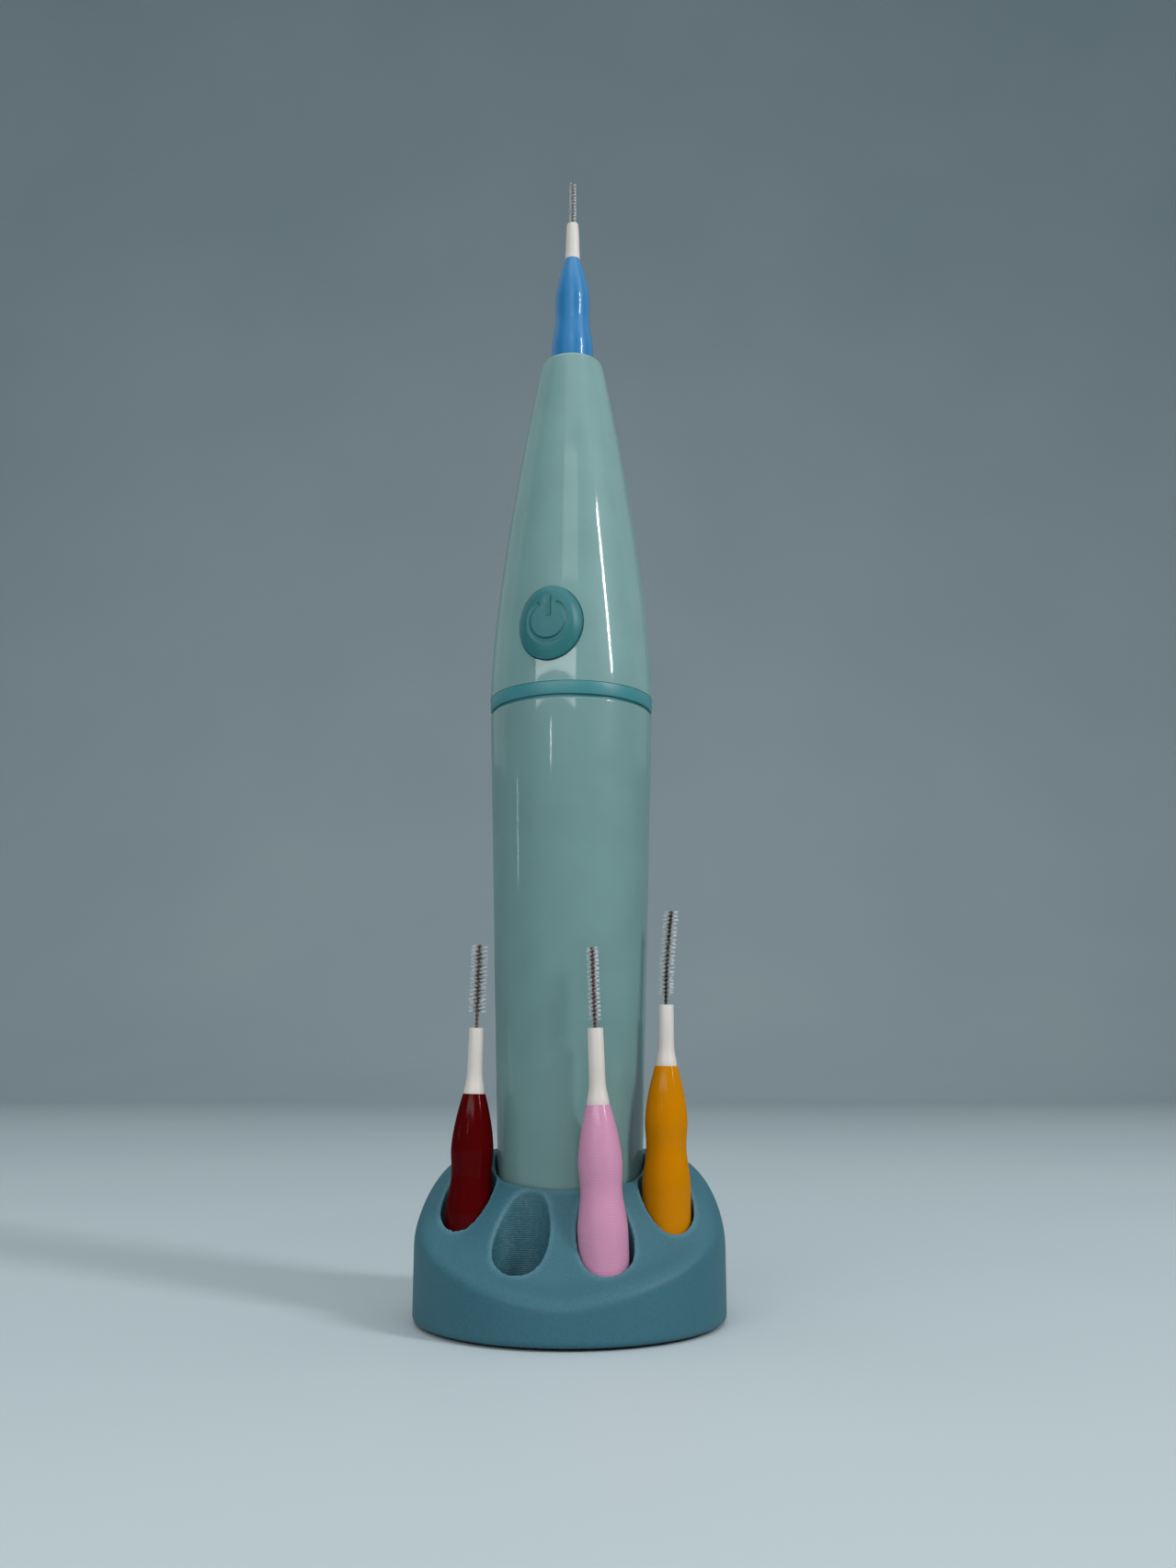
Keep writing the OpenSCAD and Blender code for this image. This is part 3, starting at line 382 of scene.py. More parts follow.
# %% [markdown]
# ## Metals, rubber and electronics
#
# The inside never shows in the photograph, but it does when the handle is pulled apart, so each material
# there is told apart too: brushed steel with stretched grain, warm brass, dark magnet, a printed sleeve on
# the cell and a green board.

# %% Metals and the rest
def metal(name, colour, roughness, stretch):
    """Metal with a grain; stretch squeezes the noise along one axis to make brush marks."""
    material, tree, shader = start_finish(name, Metallic=1.0)
    grain = noise(tree, 0.5 * mm, detail=4.0, roughness=0.6, scale=stretch)
    base = linear(*colour)
    colour_by(tree, shader, grain, 0.3, 0.7, darkened(base, 0.82), base)
    tree.links.new(spread(tree, grain, roughness * 0.8, roughness * 1.25), shader.inputs["Roughness"])
    add_bump(tree, shader, grain, 0.006 * mm, 0.5)
    return material


def dull(name, low, high, grain, roughness, depth, metallic=0.0):
    """Dull stuff whose colour wanders between two shades."""
    material, tree, shader = start_finish(name, Roughness=roughness, Metallic=metallic)
    pattern = noise(tree, grain, detail=4.0)
    colour_by(tree, shader, pattern, 0.3, 0.7, linear(*low), linear(*high))
    add_bump(tree, shader, pattern, depth, 0.6)
    return material


brushed_steel = metal("brushed_steel", (186, 188, 190), 0.28, (1, 1, 0.05))
warm_brass = metal("warm_brass", (201, 164, 92), 0.24, (1, 0.1, 1))
dark_magnet = dull("dark_magnet", (44, 44, 48), (62, 62, 66), 0.6 * mm, 0.55, 0.01 * mm, 0.4)
cell_sleeve = dull("cell_sleeve", (46, 62, 88), (54, 72, 100), 4 * mm, 0.32, 0.004 * mm)
soft_rubber = dull("soft_rubber", (26, 28, 30), (38, 40, 42), 0.5 * mm, 0.72, 0.02 * mm)
green_board = dull("green_board", (22, 74, 48), (32, 92, 60), 0.9 * mm, 0.38, 0.01 * mm)
print("materials so far:", len(bpy.data.materials))

# %% [markdown]
# The brush wires are coated in different colours, one for each head size, and the bristles are clear nylon:
# thin, pale strands that let some light through. Near the wire the strands are painted darker, a painted
# shade for the packed strands and the wire seen through them, so a brush looks like a soft halo round a
# smoky core. Each strand carries a number that goes from 0 at the wire to 1 at its tip.

# %% Wires and bristles
def wire_coat(name, colour):
    """Coated wire, darker in patches where the coat is thicker."""
    material, tree, shader = start_finish(name, Metallic=0.4, Roughness=0.42)
    base = linear(*colour)
    patches = noise(tree, 0.5 * mm, detail=2.0)
    colour_by(tree, shader, patches, 0.35, 0.6, darkened(base, 0.6), base)
    return material


def nylon(name, root, colour):
    """See-through strands, darker at the wire, a painted shade, and pale towards the tips."""
    material, tree, shader = start_finish(name, Roughness=0.35, Alpha=0.85)
    # The root colour near the wire is a painted shade.
    colour_by(tree, shader, marked(tree, "tip"), 0.15, 0.60, linear(*root), linear(*colour))
    add_bump(tree, shader, noise(tree, 0.1 * mm, detail=2.0), 0.002 * mm, 0.5)
    return material


wire_finishes = {
    "blue": wire_coat("wire_blue_head", (112, 104, 98)),
    "red": wire_coat("wire_red_head", (112, 96, 90)),
    "pink": wire_coat("wire_pink_head", (112, 72, 84)),
    "yellow": wire_coat("wire_yellow_head", (58, 60, 46)),
}
# Its first colour is the painted shade at the wire.
bristle_nylon = nylon("bristle_nylon", (118, 110, 102), (224, 224, 226))
print("materials:", len(bpy.data.materials))

# %% [markdown]
# ## Turned shells
#
# The engineering model has few flat facets. For close views the handle's shells are turned afresh: an
# outline in radius and height, in millimetres, is spun round the axis with 128 steps or more, and hard
# edges are marked by angle. The outlines repeat the model's sizes, so nothing moves.

# %% Turning helpers
def arc(centre_r, centre_z, radius, first, last, steps=8):
    """Points of a round between two angles in degrees, in millimetres."""
    turns = [math.radians(first + (last - first) * k / steps) for k in range(steps + 1)]
    return [(centre_r + radius * math.cos(t), centre_z + radius * math.sin(t)) for t in turns]


def cubic(points, t):
    """Point of a cubic curve."""
    a, b, c, d = points
    s = 1 - t
    return tuple(s ** 3 * a[i] + 3 * s ** 2 * t * b[i] + 3 * s * t * t * c[i] + t ** 3 * d[i] for i in (0, 1))


def spin_line(shape, spots, steps):
    """Joins points into a line and spins the line a full turn round the upright axis."""
    edges = [shape.edges.new(pair) for pair in zip(spots, spots[1:])]
    bmesh.ops.spin(shape, geom=spots + edges, cent=(0, 0, 0), axis=(0, 0, 1), angle=2 * math.pi, steps=steps,
                   use_merge=True)


def turned(outline, steps=128):
    """Shape spun from an outline of (radius, height) pairs in millimetres."""
    shape = bmesh.new()
    spin_line(shape, [shape.verts.new((r * mm, 0, z * mm)) for r, z in outline], steps)
    bmesh.ops.remove_doubles(shape, verts=shape.verts, dist=0.0005 * mm)
    return shape


print("a quarter round has", len(arc(0, 0, 1, 0, 90)), "points")

# %% [markdown]
# Every piece goes the same way from an edited shape to an object: its faces are turned outwards, it gets
# its material, and edges sharper than an angle stay hard. Then it is hung on its body, and the engineering
# nodes that it stands for are hidden.

# %% Finishing helpers
def as_object(shape, name):
    """Object in the scene from an edited shape, with its faces turned outwards."""
    bmesh.ops.recalc_face_normals(shape, faces=shape.faces)
    mesh = bpy.data.meshes.new(name)
    shape.to_mesh(mesh)
    shape.free()
    made = bpy.data.objects.new(name, mesh)
    bpy.context.scene.collection.objects.link(made)
    return made


def finish_mesh(shape, name, material, body, replaced, smooth_angle=35):
    """Turns an edited shape into a piece that rides on a body and stands for some CAD nodes."""
    piece = as_object(shape, name)
    piece.data.materials.append(material)
    piece.data.shade_smooth()
    piece.data.set_sharp_from_angle(angle=math.radians(smooth_angle))
    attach(piece, body)
    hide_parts(*replaced)
    return piece


print("finishing helpers ready")

# %% [markdown]
# The tube first. It widens from its foot to the ring, has a thin wall and a rounded rim, and a straight
# bore in its mouth for the frame. The rim's small round is what catches the bright line below the dark
# groove.

# %% Battery tube
tube_z, tube_h, tube_foot_r, tube_top_r, wall = 4.5, 90.8, 10.85, 13.5, 1.6
mouth_r, mouth_h, foot_edge, rim = tube_top_r - wall, 9.0, 1.2, 0.4
tube_step = 8


def tube_radius(z):
    """Outer radius of the tube at a height above the table, in millimetres."""
    return tube_foot_r + (tube_top_r - tube_foot_r) * (z - tube_z) / tube_h


mouth_z = tube_z + tube_h - mouth_h
tube_outline = (
    [(0, tube_z)] + arc(tube_foot_r - foot_edge, tube_z + foot_edge, foot_edge, -90, 0)
    + [(tube_radius(tube_z + tube_step * k), tube_z + tube_step * k) for k in range(1, 11)]
    + arc(tube_top_r - rim, tube_z + tube_h - rim, rim, 0, 90)
    + [(mouth_r, tube_z + tube_h), (mouth_r, mouth_z), (tube_radius(mouth_z) - wall, mouth_z)]
    + [(tube_radius(tube_z + wall) - wall, tube_z + wall), (0, tube_z + wall)])
# The tube gets the darker mint, a painted shade.
tube = finish_mesh(turned(tube_outline), "tube_shell", mint_painted_shade, "tube", ["battery_tube"])
print(tube.name, len(tube.data.polygons), "faces")

# %% [markdown]
# The housing is one cubic curve from the ring to the nose. Two pulls bend it: the first keeps the belly
# full, and the second draws the nose slim. Inside are the cavity for the gears, the bore of the bush, the
# small hole for the spindle and the pocket that hides the foot of the blue brush head.

# %% Housing outline
housing_z, housing_h, housing_r, nose_r, nose_round = 97.9, 62.1, 13.6, 5.5, 1.2
cavity_top_z, bush_top_z, pocket_z = 142.2, 150.4, 151.6
bush_r, spindle_hole_r, pocket_r = 3.42, 1.8, 3.95
curve_h = housing_h - nose_round
belly_pull = (housing_r * 0.985, curve_h * 0.363)
nose_pull = (housing_r * 0.39, curve_h * 1.03)
housing_pull = [(housing_r, 0), belly_pull, nose_pull, (nose_r, curve_h)]
housing_curve = [cubic(housing_pull, k / 96) for k in range(97)]


def housing_radius(h):
    """Outer radius of the housing at a height above the ring, in millimetres."""
    for (r0, h0), (r1, h1) in zip(housing_curve, housing_curve[1:]):
        if h <= h1:
            return r0 + (r1 - r0) * (h - h0) / (h1 - h0)
    return nose_r


cavity_h = cavity_top_z - housing_z
cavity_wall = [(housing_radius(cavity_h * k / 60) - wall, cavity_h * k / 60) for k in range(60, -1, -1)]
pocket_h, bush_h = pocket_z - housing_z, bush_top_z - housing_z
housing_outline = (
    housing_curve + arc(nose_r - nose_round, curve_h, nose_round, 10, 90)
    + [(pocket_r, housing_h), (pocket_r, pocket_h), (spindle_hole_r, pocket_h), (spindle_hole_r, bush_h)]
    + [(bush_r, bush_h), (bush_r, cavity_h)] + cavity_wall + [(housing_r, 0)])
print("outline points:", len(housing_outline), "nose radius", round(housing_radius(curve_h), 2))

# %% [markdown]
# The button sits in an oval opening, turned fifteen degrees to the left of the front. A throwaway oval bar
# cuts the opening, and the cut rim stays sharp because the real part has a crisp edge there. The bar is a
# circle, stretched to the button's oval and extruded along the button's own outward direction.

# %% Oval opening
button_turn = math.radians(15)
button_mid_z = housing_z + 9.8
button_w, button_h = 10.6, 12.7
opening_gap, opening_low, opening_high = 0.1, 7.8, 16.0
button_place = (Matrix.Rotation(-button_turn, 4, "Z") @ Matrix.Translation((0, 0, button_mid_z * mm))
                @ Matrix.Rotation(math.pi / 2, 4, "X"))


def oval_bar(grow, low, high):
    """Oval bar a little larger than the button, between two distances from the handle's axis."""
    bar = bmesh.new()
    size = Matrix.Diagonal(((button_w / 2 + grow) * mm, (button_h / 2 + grow) * mm, 1, 1))
    ring = bmesh.ops.create_circle(bar, cap_ends=True, segments=96, radius=1.0, matrix=size)
    bmesh.ops.translate(bar, verts=ring["verts"], vec=(0, 0, low * mm))
    pushed = bmesh.ops.extrude_face_region(bar, geom=bar.faces[:])
    moved = [v for v in pushed["geom"] if isinstance(v, bmesh.types.BMVert)]
    bmesh.ops.translate(bar, verts=moved, vec=(0, 0, (high - low) * mm))
    bmesh.ops.transform(bar, matrix=button_place, verts=bar.verts)
    return bar


opening = oval_bar(opening_gap, opening_low, opening_high)
print("cutting bar:", len(opening.faces), "faces")

# %% [markdown]
# A Boolean modifier works on objects, so both edited shapes become objects for a moment. The cut result is
# read back as a new edited shape, and the two helpers are removed again.

# %% Housing
def without(piece_shape, cutter_shape):
    """The first shape less the second, as a new edited shape."""
    whole = as_object(piece_shape, "whole")
    cutter = as_object(cutter_shape, "cutter")
    cut = whole.modifiers.new("cut", "BOOLEAN")
    cut.operation = "DIFFERENCE"
    cut.solver = "EXACT"
    cut.object = cutter
    result = bmesh.new()
    result.from_object(whole, bpy.context.evaluated_depsgraph_get())
    bpy.data.objects.remove(whole)
    bpy.data.objects.remove(cutter)
    return result


housing_shape = turned([(r, z + housing_z) for r, z in housing_outline], steps=160)
housing_shape = without(housing_shape, opening)
housing = finish_mesh(housing_shape, "housing_shell", mint_paint, "handle_head",
                      ["head_housing"], 25)
print(housing.name, len(housing.data.polygons), "faces")

# %% [markdown]
# The dark teal ring is a thin band with an undercut below, which reads as a dark line between the ring and
# the tube. Its outer edges are rounded a little more than the engineering model's, to catch the light.

# %% Accent ring
ring_z, ring_h, ring_bore_r, ring_edge = 95.3, 2.6, 11.67, 0.18
undercut = ring_h / 6
ring_outline = (
    [(ring_bore_r, ring_z), (tube_top_r - undercut, ring_z), (tube_top_r - undercut, ring_z + undercut)]
    + arc(tube_top_r - ring_edge, ring_z + undercut + ring_edge, ring_edge, -90, 0, 4)
    + arc(housing_r - ring_edge, ring_z + ring_h - ring_edge, ring_edge, 0, 90, 4)
    + [(ring_bore_r, ring_z + ring_h), (ring_bore_r, ring_z)])
band = finish_mesh(turned(ring_outline), "accent_band", ring_satin, "handle_head",
                   ["accent_ring"])
print(band.name, len(band.data.polygons), "faces")

# %% [markdown]
# ## The stand
#
# The stand's outline changes on the way round: a rounded shoulder at the back blends into a low scoop that
# opens the sockets at the front. How much of each a point gets depends on its angle from the front. The
# scoop's lip also rises towards the outer sockets, which makes the soft smile-shaped edge of the
# photograph.

# %% Two outlines of the stand
stand_r, stand_low, stand_edge = 24.0, 0.4, 0.7
shoulder_start, shoulder_mid = (10.0, 24.0), (13, 10)
shoulder_out, shoulder_up, shoulder_power = 11, 14.8, 2 / 2.2
scoop_start, lip, rim_edge = (11.4, 20.4), (20.4, 8.3), (stand_r, 5.0)


def mixed(first, last, share_r, share_z):
    """Point between two ends: a share of the way out from the first, and of the height above the last."""
    return (first[0] + (last[0] - first[0]) * share_r, last[1] + (first[1] - last[1]) * share_z)


quarter = [math.radians(90 - 90 * k / 40) for k in range(41)]
shoulder = [shoulder_start]
for t in quarter:
    out, up = shoulder_out * math.cos(t) ** shoulder_power, shoulder_up * math.sin(t) ** shoulder_power
    shoulder.append((shoulder_mid[0] + out, shoulder_mid[1] + up))
scoop_pull = [scoop_start, mixed(scoop_start, lip, 0.16, 0.97), mixed(scoop_start, lip, 0.58, 0.265), lip]
rim_pull = [lip, mixed(lip, rim_edge, 0.4, 0.63), mixed(lip, rim_edge, 0.93, 0.5), rim_edge]
scoop = ([(shoulder_start[0], scoop_start[1])] + [cubic(scoop_pull, k / 24) for k in range(25)]
         + [cubic(rim_pull, k / 16) for k in range(1, 17)])
rises = [0.0] + [(k / 24) ** 0.7 for k in range(25)] + [1 + 0.2 * k / 16 for k in range(1, 17)]
print("outline points:", len(shoulder), len(scoop), len(rises))

# %% [markdown]
# A point's angle and its share of the way down the outline are all that the blend needs. Up to fifty-two
# degrees from its middle the scoop has its full weight; beyond one hundred degrees it has none.

# %% Blending helpers
scoop_turn, scoop_full, scoop_end = -3.0, 52.0, 100.0
scoop_rise, rise_power = 4.2, 1.4


def ease(t):
    """Smooth step from 0 to 1."""
    t = max(0.0, min(1.0, t))
    return t * t * (3 - 2 * t)


def outline_at(points, share):
    """Point at a share of the way along a list of points."""
    place = share * (len(points) - 1)
    k = min(int(place), len(points) - 2)
    return tuple(points[k][i] + (points[k + 1][i] - points[k][i]) * (place - k) for i in (0, 1))


def raised(rise):
    """The scoop's outline with its lip lifted by a rise."""
    return [(r, z + rise * part) for (r, z), part in zip(scoop, rises)]


def stand_point(turn, share):
    """Place on the stand's skin at an angle from the front and a share of the way down its outline."""
    off = abs(math.degrees(turn) - scoop_turn)
    off = min(off, 360 - off)
    weight = ease((scoop_end - off) / (scoop_end - scoop_full))
    rise = scoop_rise * (min(off, scoop_end) / scoop_full) ** rise_power
    back, front = outline_at(shoulder, share), outline_at(raised(rise), share)
    r, z = (back[i] * (1 - weight) + front[i] * weight for i in (0, 1))
    return (r * mm * math.sin(turn), -r * mm * math.cos(turn), z * mm)


print("front of the stand, half way down:", [round(v / mm, 1) for v in stand_point(0.0, 0.5)])

# %% [markdown]
# The points are marked by their share of the outline before the spin, from 0 at the inner edge to 1 at the
# foot. The blend comes after the spin, when every point can find its place by its own angle. The flat foot
# and the middle of the top have the mark -1 and stay where the spin has put them.

# %% Closed skin of the stand
unmoved = -1


def stand_skin(around=216, down=44):
    """Closed skin of the stand before the cup and the sockets are cut."""
    shape = bmesh.new()
    share = shape.verts.layers.float.new("share")
    foot_r, foot_z = stand_r - stand_edge, stand_low + stand_edge
    foot = [(0, stand_low), (foot_r, stand_low)] + arc(foot_r, foot_z, stand_edge, -80, 0, 4)
    spots = [shape.verts.new((0, -r * mm, z * mm)) for r, z in foot]
    for spot in spots:
        spot[share] = unmoved
    for k in range(down + 1):
        spots.append(shape.verts.new((0, -mm, mm)))
        spots[-1][share] = 1 - k / down
    spots.append(shape.verts.new((0, 0, scoop_start[1] * mm)))
    spots[-1][share] = unmoved
    spin_line(shape, spots, around)
    for vert in shape.verts:
        if vert[share] >= 0:
            vert.co = stand_point(math.atan2(vert.co.x, -vert.co.y), vert[share])
    bmesh.ops.remove_doubles(shape, verts=shape.verts, dist=0.002 * mm)
    return shape


skin_shape = stand_skin()
print("closed skin:", len(skin_shape.faces), "faces")

# %% [markdown]
# The cup for the handle is a cone with a little room round the tube, and the sockets are four plain bores,
# each with its own floor. A wide shallow bore from below makes the recess of the weight. All are cut in one
# Boolean.

# %% Cup and sockets
cup_gap, cup_top, recess_r, recess_top = 0.3, 26, 21.6, 3.0
socket_circle, socket_r, bore_top = 16.3, 4.125, 30
sockets = {
    "red": dict(turn=-70, floor=5.8),
    "empty": dict(turn=-25, floor=4.5),
    "pink": dict(turn=19, floor=4.5),
    "yellow": dict(turn=63, floor=10.0),
}


def round_axis(radius, turn):
    """Place round the upright axis at an angle in degrees from the front, positive to the right."""
    return (radius * math.sin(math.radians(turn)), -radius * math.cos(math.radians(turn)))


def add_cone(shape, x, y, low, high, low_r, high_r, segments=96):
    """Upright cone or cylinder added to an edited shape, sizes in millimetres."""
    middle = Matrix.Translation((x * mm, y * mm, (low + high) / 2 * mm))
    bmesh.ops.create_cone(shape, cap_ends=True, segments=segments, radius1=low_r * mm, radius2=high_r * mm,
                          depth=(high - low) * mm, matrix=middle)


socket_xy = {key: round_axis(socket_circle, socket["turn"]) for key, socket in sockets.items()}
hollows = bmesh.new()
add_cone(hollows, 0, 0, tube_z, cup_top, tube_radius(tube_z) + cup_gap, tube_radius(cup_top) + cup_gap, 160)
add_cone(hollows, 0, 0, -1, recess_top, recess_r, recess_r, 160)
for key, socket in sockets.items():
    add_cone(hollows, *socket_xy[key], socket["floor"], bore_top, socket_r, socket_r)
stand_shape = without(skin_shape, hollows)
print("stand before softening:", len(stand_shape.faces), "faces")

# %% [markdown]
# Moulded lips are never sharp. A voxel remesh gives the stand an even skin of tiny faces, and smoothing
# melts every edge by about a third of a millimetre. Faces that the shape doesn't need are merged again.

# %% Softening helper
def remeshed(shape, voxel, rounds, kept=1.0):
    """Even skin of small faces over the shape, smoothed for some rounds; kept is the share of faces left."""
    raw = as_object(shape, "raw")
    skin = raw.modifiers.new("skin", "REMESH")
    skin.mode = "VOXEL"
    skin.voxel_size = voxel * mm
    skin.adaptivity = 0
    soften = raw.modifiers.new("soften", "SMOOTH")
    soften.factor = 0.5
    soften.iterations = rounds
    if kept < 1:
        thin = raw.modifiers.new("thin", "DECIMATE")
        thin.ratio = kept
    result = bmesh.new()
    result.from_object(raw, bpy.context.evaluated_depsgraph_get())
    bpy.data.objects.remove(raw)
    return result


stand_shape = remeshed(stand_shape, voxel=0.22, rounds=14, kept=0.38)
print("stand after softening:", len(stand_shape.faces), "faces")

# %% [markdown]
# The slate finish wants to know where the lips and the sockets are. Each rule gives a number for one point
# of the mesh, and the numbers are stored on the piece under the names that the material reads.

# %% Stand
socket_reach, socket_fade = 0.45, 0.3


def mark(piece, name, rule):
    """Number on every point of a piece, for its material to read."""
    values = piece.data.attributes.new(name, "FLOAT", "POINT")
    values.data.foreach_set("value", [rule(vert) for vert in piece.data.vertices])


def lip_highlight_share(vert):
    """1 on the up-facing lips of the sockets and of the cup, where the painted highlight goes, 0 a millimetre
    away and on upright walls.
    """
    spot = vert.co / mm
    gaps = [abs(math.hypot(spot.x - x, spot.y - y) - socket_r) for x, y in socket_xy.values()]
    gaps.append(abs(math.hypot(spot.x, spot.y) - tube_radius(spot.z) - cup_gap))
    return max(0.0, 1 - min(gaps)) * max(0.0, min(1.0, 2 * vert.normal.z))


def inside_share(vert):
    """1 inside the sockets, falling to 0 within half a millimetre of their walls."""
    spot = vert.co / mm
    near = min(math.hypot(spot.x - x, spot.y - y) for x, y in socket_xy.values())
    return max(0.0, min(1.0, (socket_r + socket_reach - near) / socket_fade))


stand = finish_mesh(stand_shape, "stand_shell", slate_matte, "stand", ["stand_body"], 180)
# The lip mark places the painted highlight.
mark(stand, "lip", lip_highlight_share)
mark(stand, "inside", inside_share)
print(stand.name, len(stand.data.polygons), "faces")

# %% [markdown]
# ## The power button
#
# The button's domed cap and its engraved sign are already exact in the engineering model, only faceted. A
# copy of that mesh, never the node itself, gets a very fine even skin and a little smoothing.

# %% Power button
def copy_of(node):
    """Edited copy of a CAD node's mesh with its doubled corners merged."""
    shape = bmesh.new()
    shape.from_mesh(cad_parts[node].data)
    bmesh.ops.remove_doubles(shape, verts=shape.verts, dist=0.001 * mm)
    return shape


button_shape = remeshed(copy_of("power_button"), voxel=0.10, rounds=5)
button = finish_mesh(button_shape, "button_shell", teal_satin, "button",
                     ["power_button"], 180)
print(button.name, len(button.data.polygons), "faces")

# %% [markdown]
# ## Brush heads
#
# All four heads share one kind of grip: a plain foot that fits the socket, a slight waist, a bulge to hold
# and a taper to the white neck. The heads differ in the height they stand at, the lengths of neck and wire,
# the reach of the bristles and the distance between strands. The blue one, fitted in the nose, is a little
# slimmer. The spare heads stand loosely in their sockets, so each one leans by a degree or two, as in the
# photograph.

# %% The four heads
heads = {
    "blue": dict(
        paint=blue_paint, xy=(0, 0), foot=152.9, lean=(0, 0), grip_top_r=1.4, bulge=3.08,
        neck=7.3, neck_top_r=1.05, wire=8.5, bend=0.0, bare=0.6, reach=0.66, step=0.013),
    "red": dict(
        paint=red_paint, xy=socket_xy["red"], foot=5.8, lean=(1.1, -0.2), grip_top_r=1.72, bulge=3.25,
        neck=10.0, neck_top_r=1.18, wire=13.0, bend=0.05, bare=2.4, reach=1.42, step=0.015),
    "pink": dict(
        paint=pink_paint, xy=socket_xy["pink"], foot=4.5, lean=(-2.1, 0.1), grip_top_r=1.75, bulge=3.25,
        neck=11.1, neck_top_r=1.18, wire=12.0, bend=0.0, bare=1.2, reach=0.95, step=0.020),
    "yellow": dict(
        paint=yellow_paint, xy=socket_xy["yellow"], foot=10.0, lean=(0.6, -0.2), grip_top_r=1.72, bulge=3.25,
        neck=9.3, neck_top_r=1.18, wire=14.6, bend=0.9, bare=1.5, reach=1.25, step=0.024),
}
grip_h, grip_r, waist_r = 28.0, 3.68, 3.05
for key, head in heads.items():
    print(key, "head:", round(grip_h + head["neck"] + head["wire"], 1), "mm long")

# %% [markdown]
# Up its height a grip is first plain, then steps in to the waist and out to the bulge, and curves in to the
# neck. Each head's pieces are drawn upright round the axis, then moved to their place and leaned.

# %% A grip's radius and place
foot_end, to_waist, waist_end, to_bulge, bulge_end, to_top = 0.36, 0.22, 0.58, 0.12, 0.70, 0.30


def grip_radius(share, top_r, bulge_r):
    """Radius of a grip at a share of its height."""
    if share < foot_end:
        return grip_r
    if share < waist_end:
        return grip_r + (waist_r - grip_r) * ease((share - foot_end) / to_waist)
    if share < bulge_end:
        return waist_r + (bulge_r - waist_r) * ease((share - waist_end) / to_bulge)
    return bulge_r - (bulge_r - top_r) * ((share - bulge_end) / to_top) ** 1.6


def placed(shape, head):
    """Moves a shape drawn round the axis at height 0 to its head's foot, with the head's lean."""
    lean_y, lean_x = (math.radians(angle) for angle in head["lean"])
    lean = Matrix.Rotation(lean_y, 4, "Y") @ Matrix.Rotation(lean_x, 4, "X")
    foot = Matrix.Translation((head["xy"][0] * mm, head["xy"][1] * mm, head["foot"] * mm))
    bmesh.ops.transform(shape, matrix=foot @ lean, verts=shape.verts)
    return shape


print("radius at the waist:", grip_radius(waist_end, waist_r, waist_r), "mm")

# %% [markdown]
# The grip is hollow from below for the drive tip, and hollow from above for its neck, so its outline starts
# inside the foot and ends in the upper bore.

# %% Outline of a grip
foot_round, tip_bore_r, tip_bore_h, neck_bore_r, neck_bore_z = 0.35, 1.38, 6.6, 1.17, 17.0


def grip_outline(head):
    """Outline of a head's painted grip, from the bore of the drive tip round to the bore of the neck."""
    rise = [(grip_radius(k / 60, head["grip_top_r"], head["bulge"]), grip_h * k / 60) for k in range(1, 61)]
    return ([(tip_bore_r, tip_bore_h), (tip_bore_r, 0), (grip_r - foot_round, 0)]
            + arc(grip_r - foot_round, foot_round, foot_round, -70, 0, 4) + rise
            + [(neck_bore_r, grip_h), (neck_bore_r, neck_bore_z), (0, neck_bore_z)])


print("grip outline:", len(grip_outline(heads["blue"])), "points")

# %% [markdown]
# The neck is a slim white stem with a flared foot. It reaches down into the grip, and its rounded top has a
# small hole that the wire comes out of. Each head's grip and neck are turned, placed and finished together.

# %% Grips and necks
neck_root_r, neck_root_h, neck_r, flare_h, neck_edge = 1.15, 11, 1.22, 3.9, 0.14
wire_hole_r, wire_hole_h = 0.31, 2


def neck_outline(head):
    """Outline of a head's neck, from its root in the grip to the hole in its top."""
    top_r, top_z, flare_r = head["neck_top_r"], grip_h + head["neck"], head["grip_top_r"]
    flare_pull = [(flare_r - 0.05, 0), (flare_r - 0.12, 1.4), (neck_r, 1.6), (neck_r, flare_h)]
    flare = [cubic(flare_pull, k / 10) for k in range(11)]
    return ([(0, grip_h - neck_root_h), (neck_root_r, grip_h - neck_root_h), (neck_root_r, grip_h)]
            + [(r, z + grip_h) for r, z in flare]
            + arc(top_r - neck_edge, top_z - neck_edge, neck_edge, 10, 90, 5)
            + [(wire_hole_r, top_z), (wire_hole_r, top_z - wire_hole_h), (0, top_z - wire_hole_h)])


for key, head in heads.items():
    body = f"{key}_head"
    grip_shape = placed(turned(grip_outline(head), 96), head)
    grip = finish_mesh(grip_shape, f"{key}_grip_shell", head["paint"], body, [f"{key}_grip"])
    neck_shape = placed(turned(neck_outline(head), 64), head)
    neck = finish_mesh(neck_shape, f"{key}_neck_shell", neck_white, body, [f"{key}_neck"])
    print(grip.name, len(grip.data.polygons), neck.name, len(neck.data.polygons))

# %% [markdown]
# A brush is two wires twisted together with strands caught between them, so the strands leave the wire in
# two helical rows. The core comes first: two thin cylinders are cut into many rings, and each ring is moved
# on to its helix. The wire's tip gets thinner, and the yellow head's wire is bent slightly to the right, as
# in the photograph.

# %% Twisted wires
twist = 1.25
coil_r, strand_r = 0.14, 0.165
wire_root = -2.0
end_thickness, end_growth = 0.35, 40


def bent(point, head):
    """Point of a brush after its wire's slight bend, in millimetres; height 0 is the neck's top."""
    share = max(0.0, point.z / head["wire"])
    return point + Vector((head["bend"] * share ** 1.8, 0, 0))


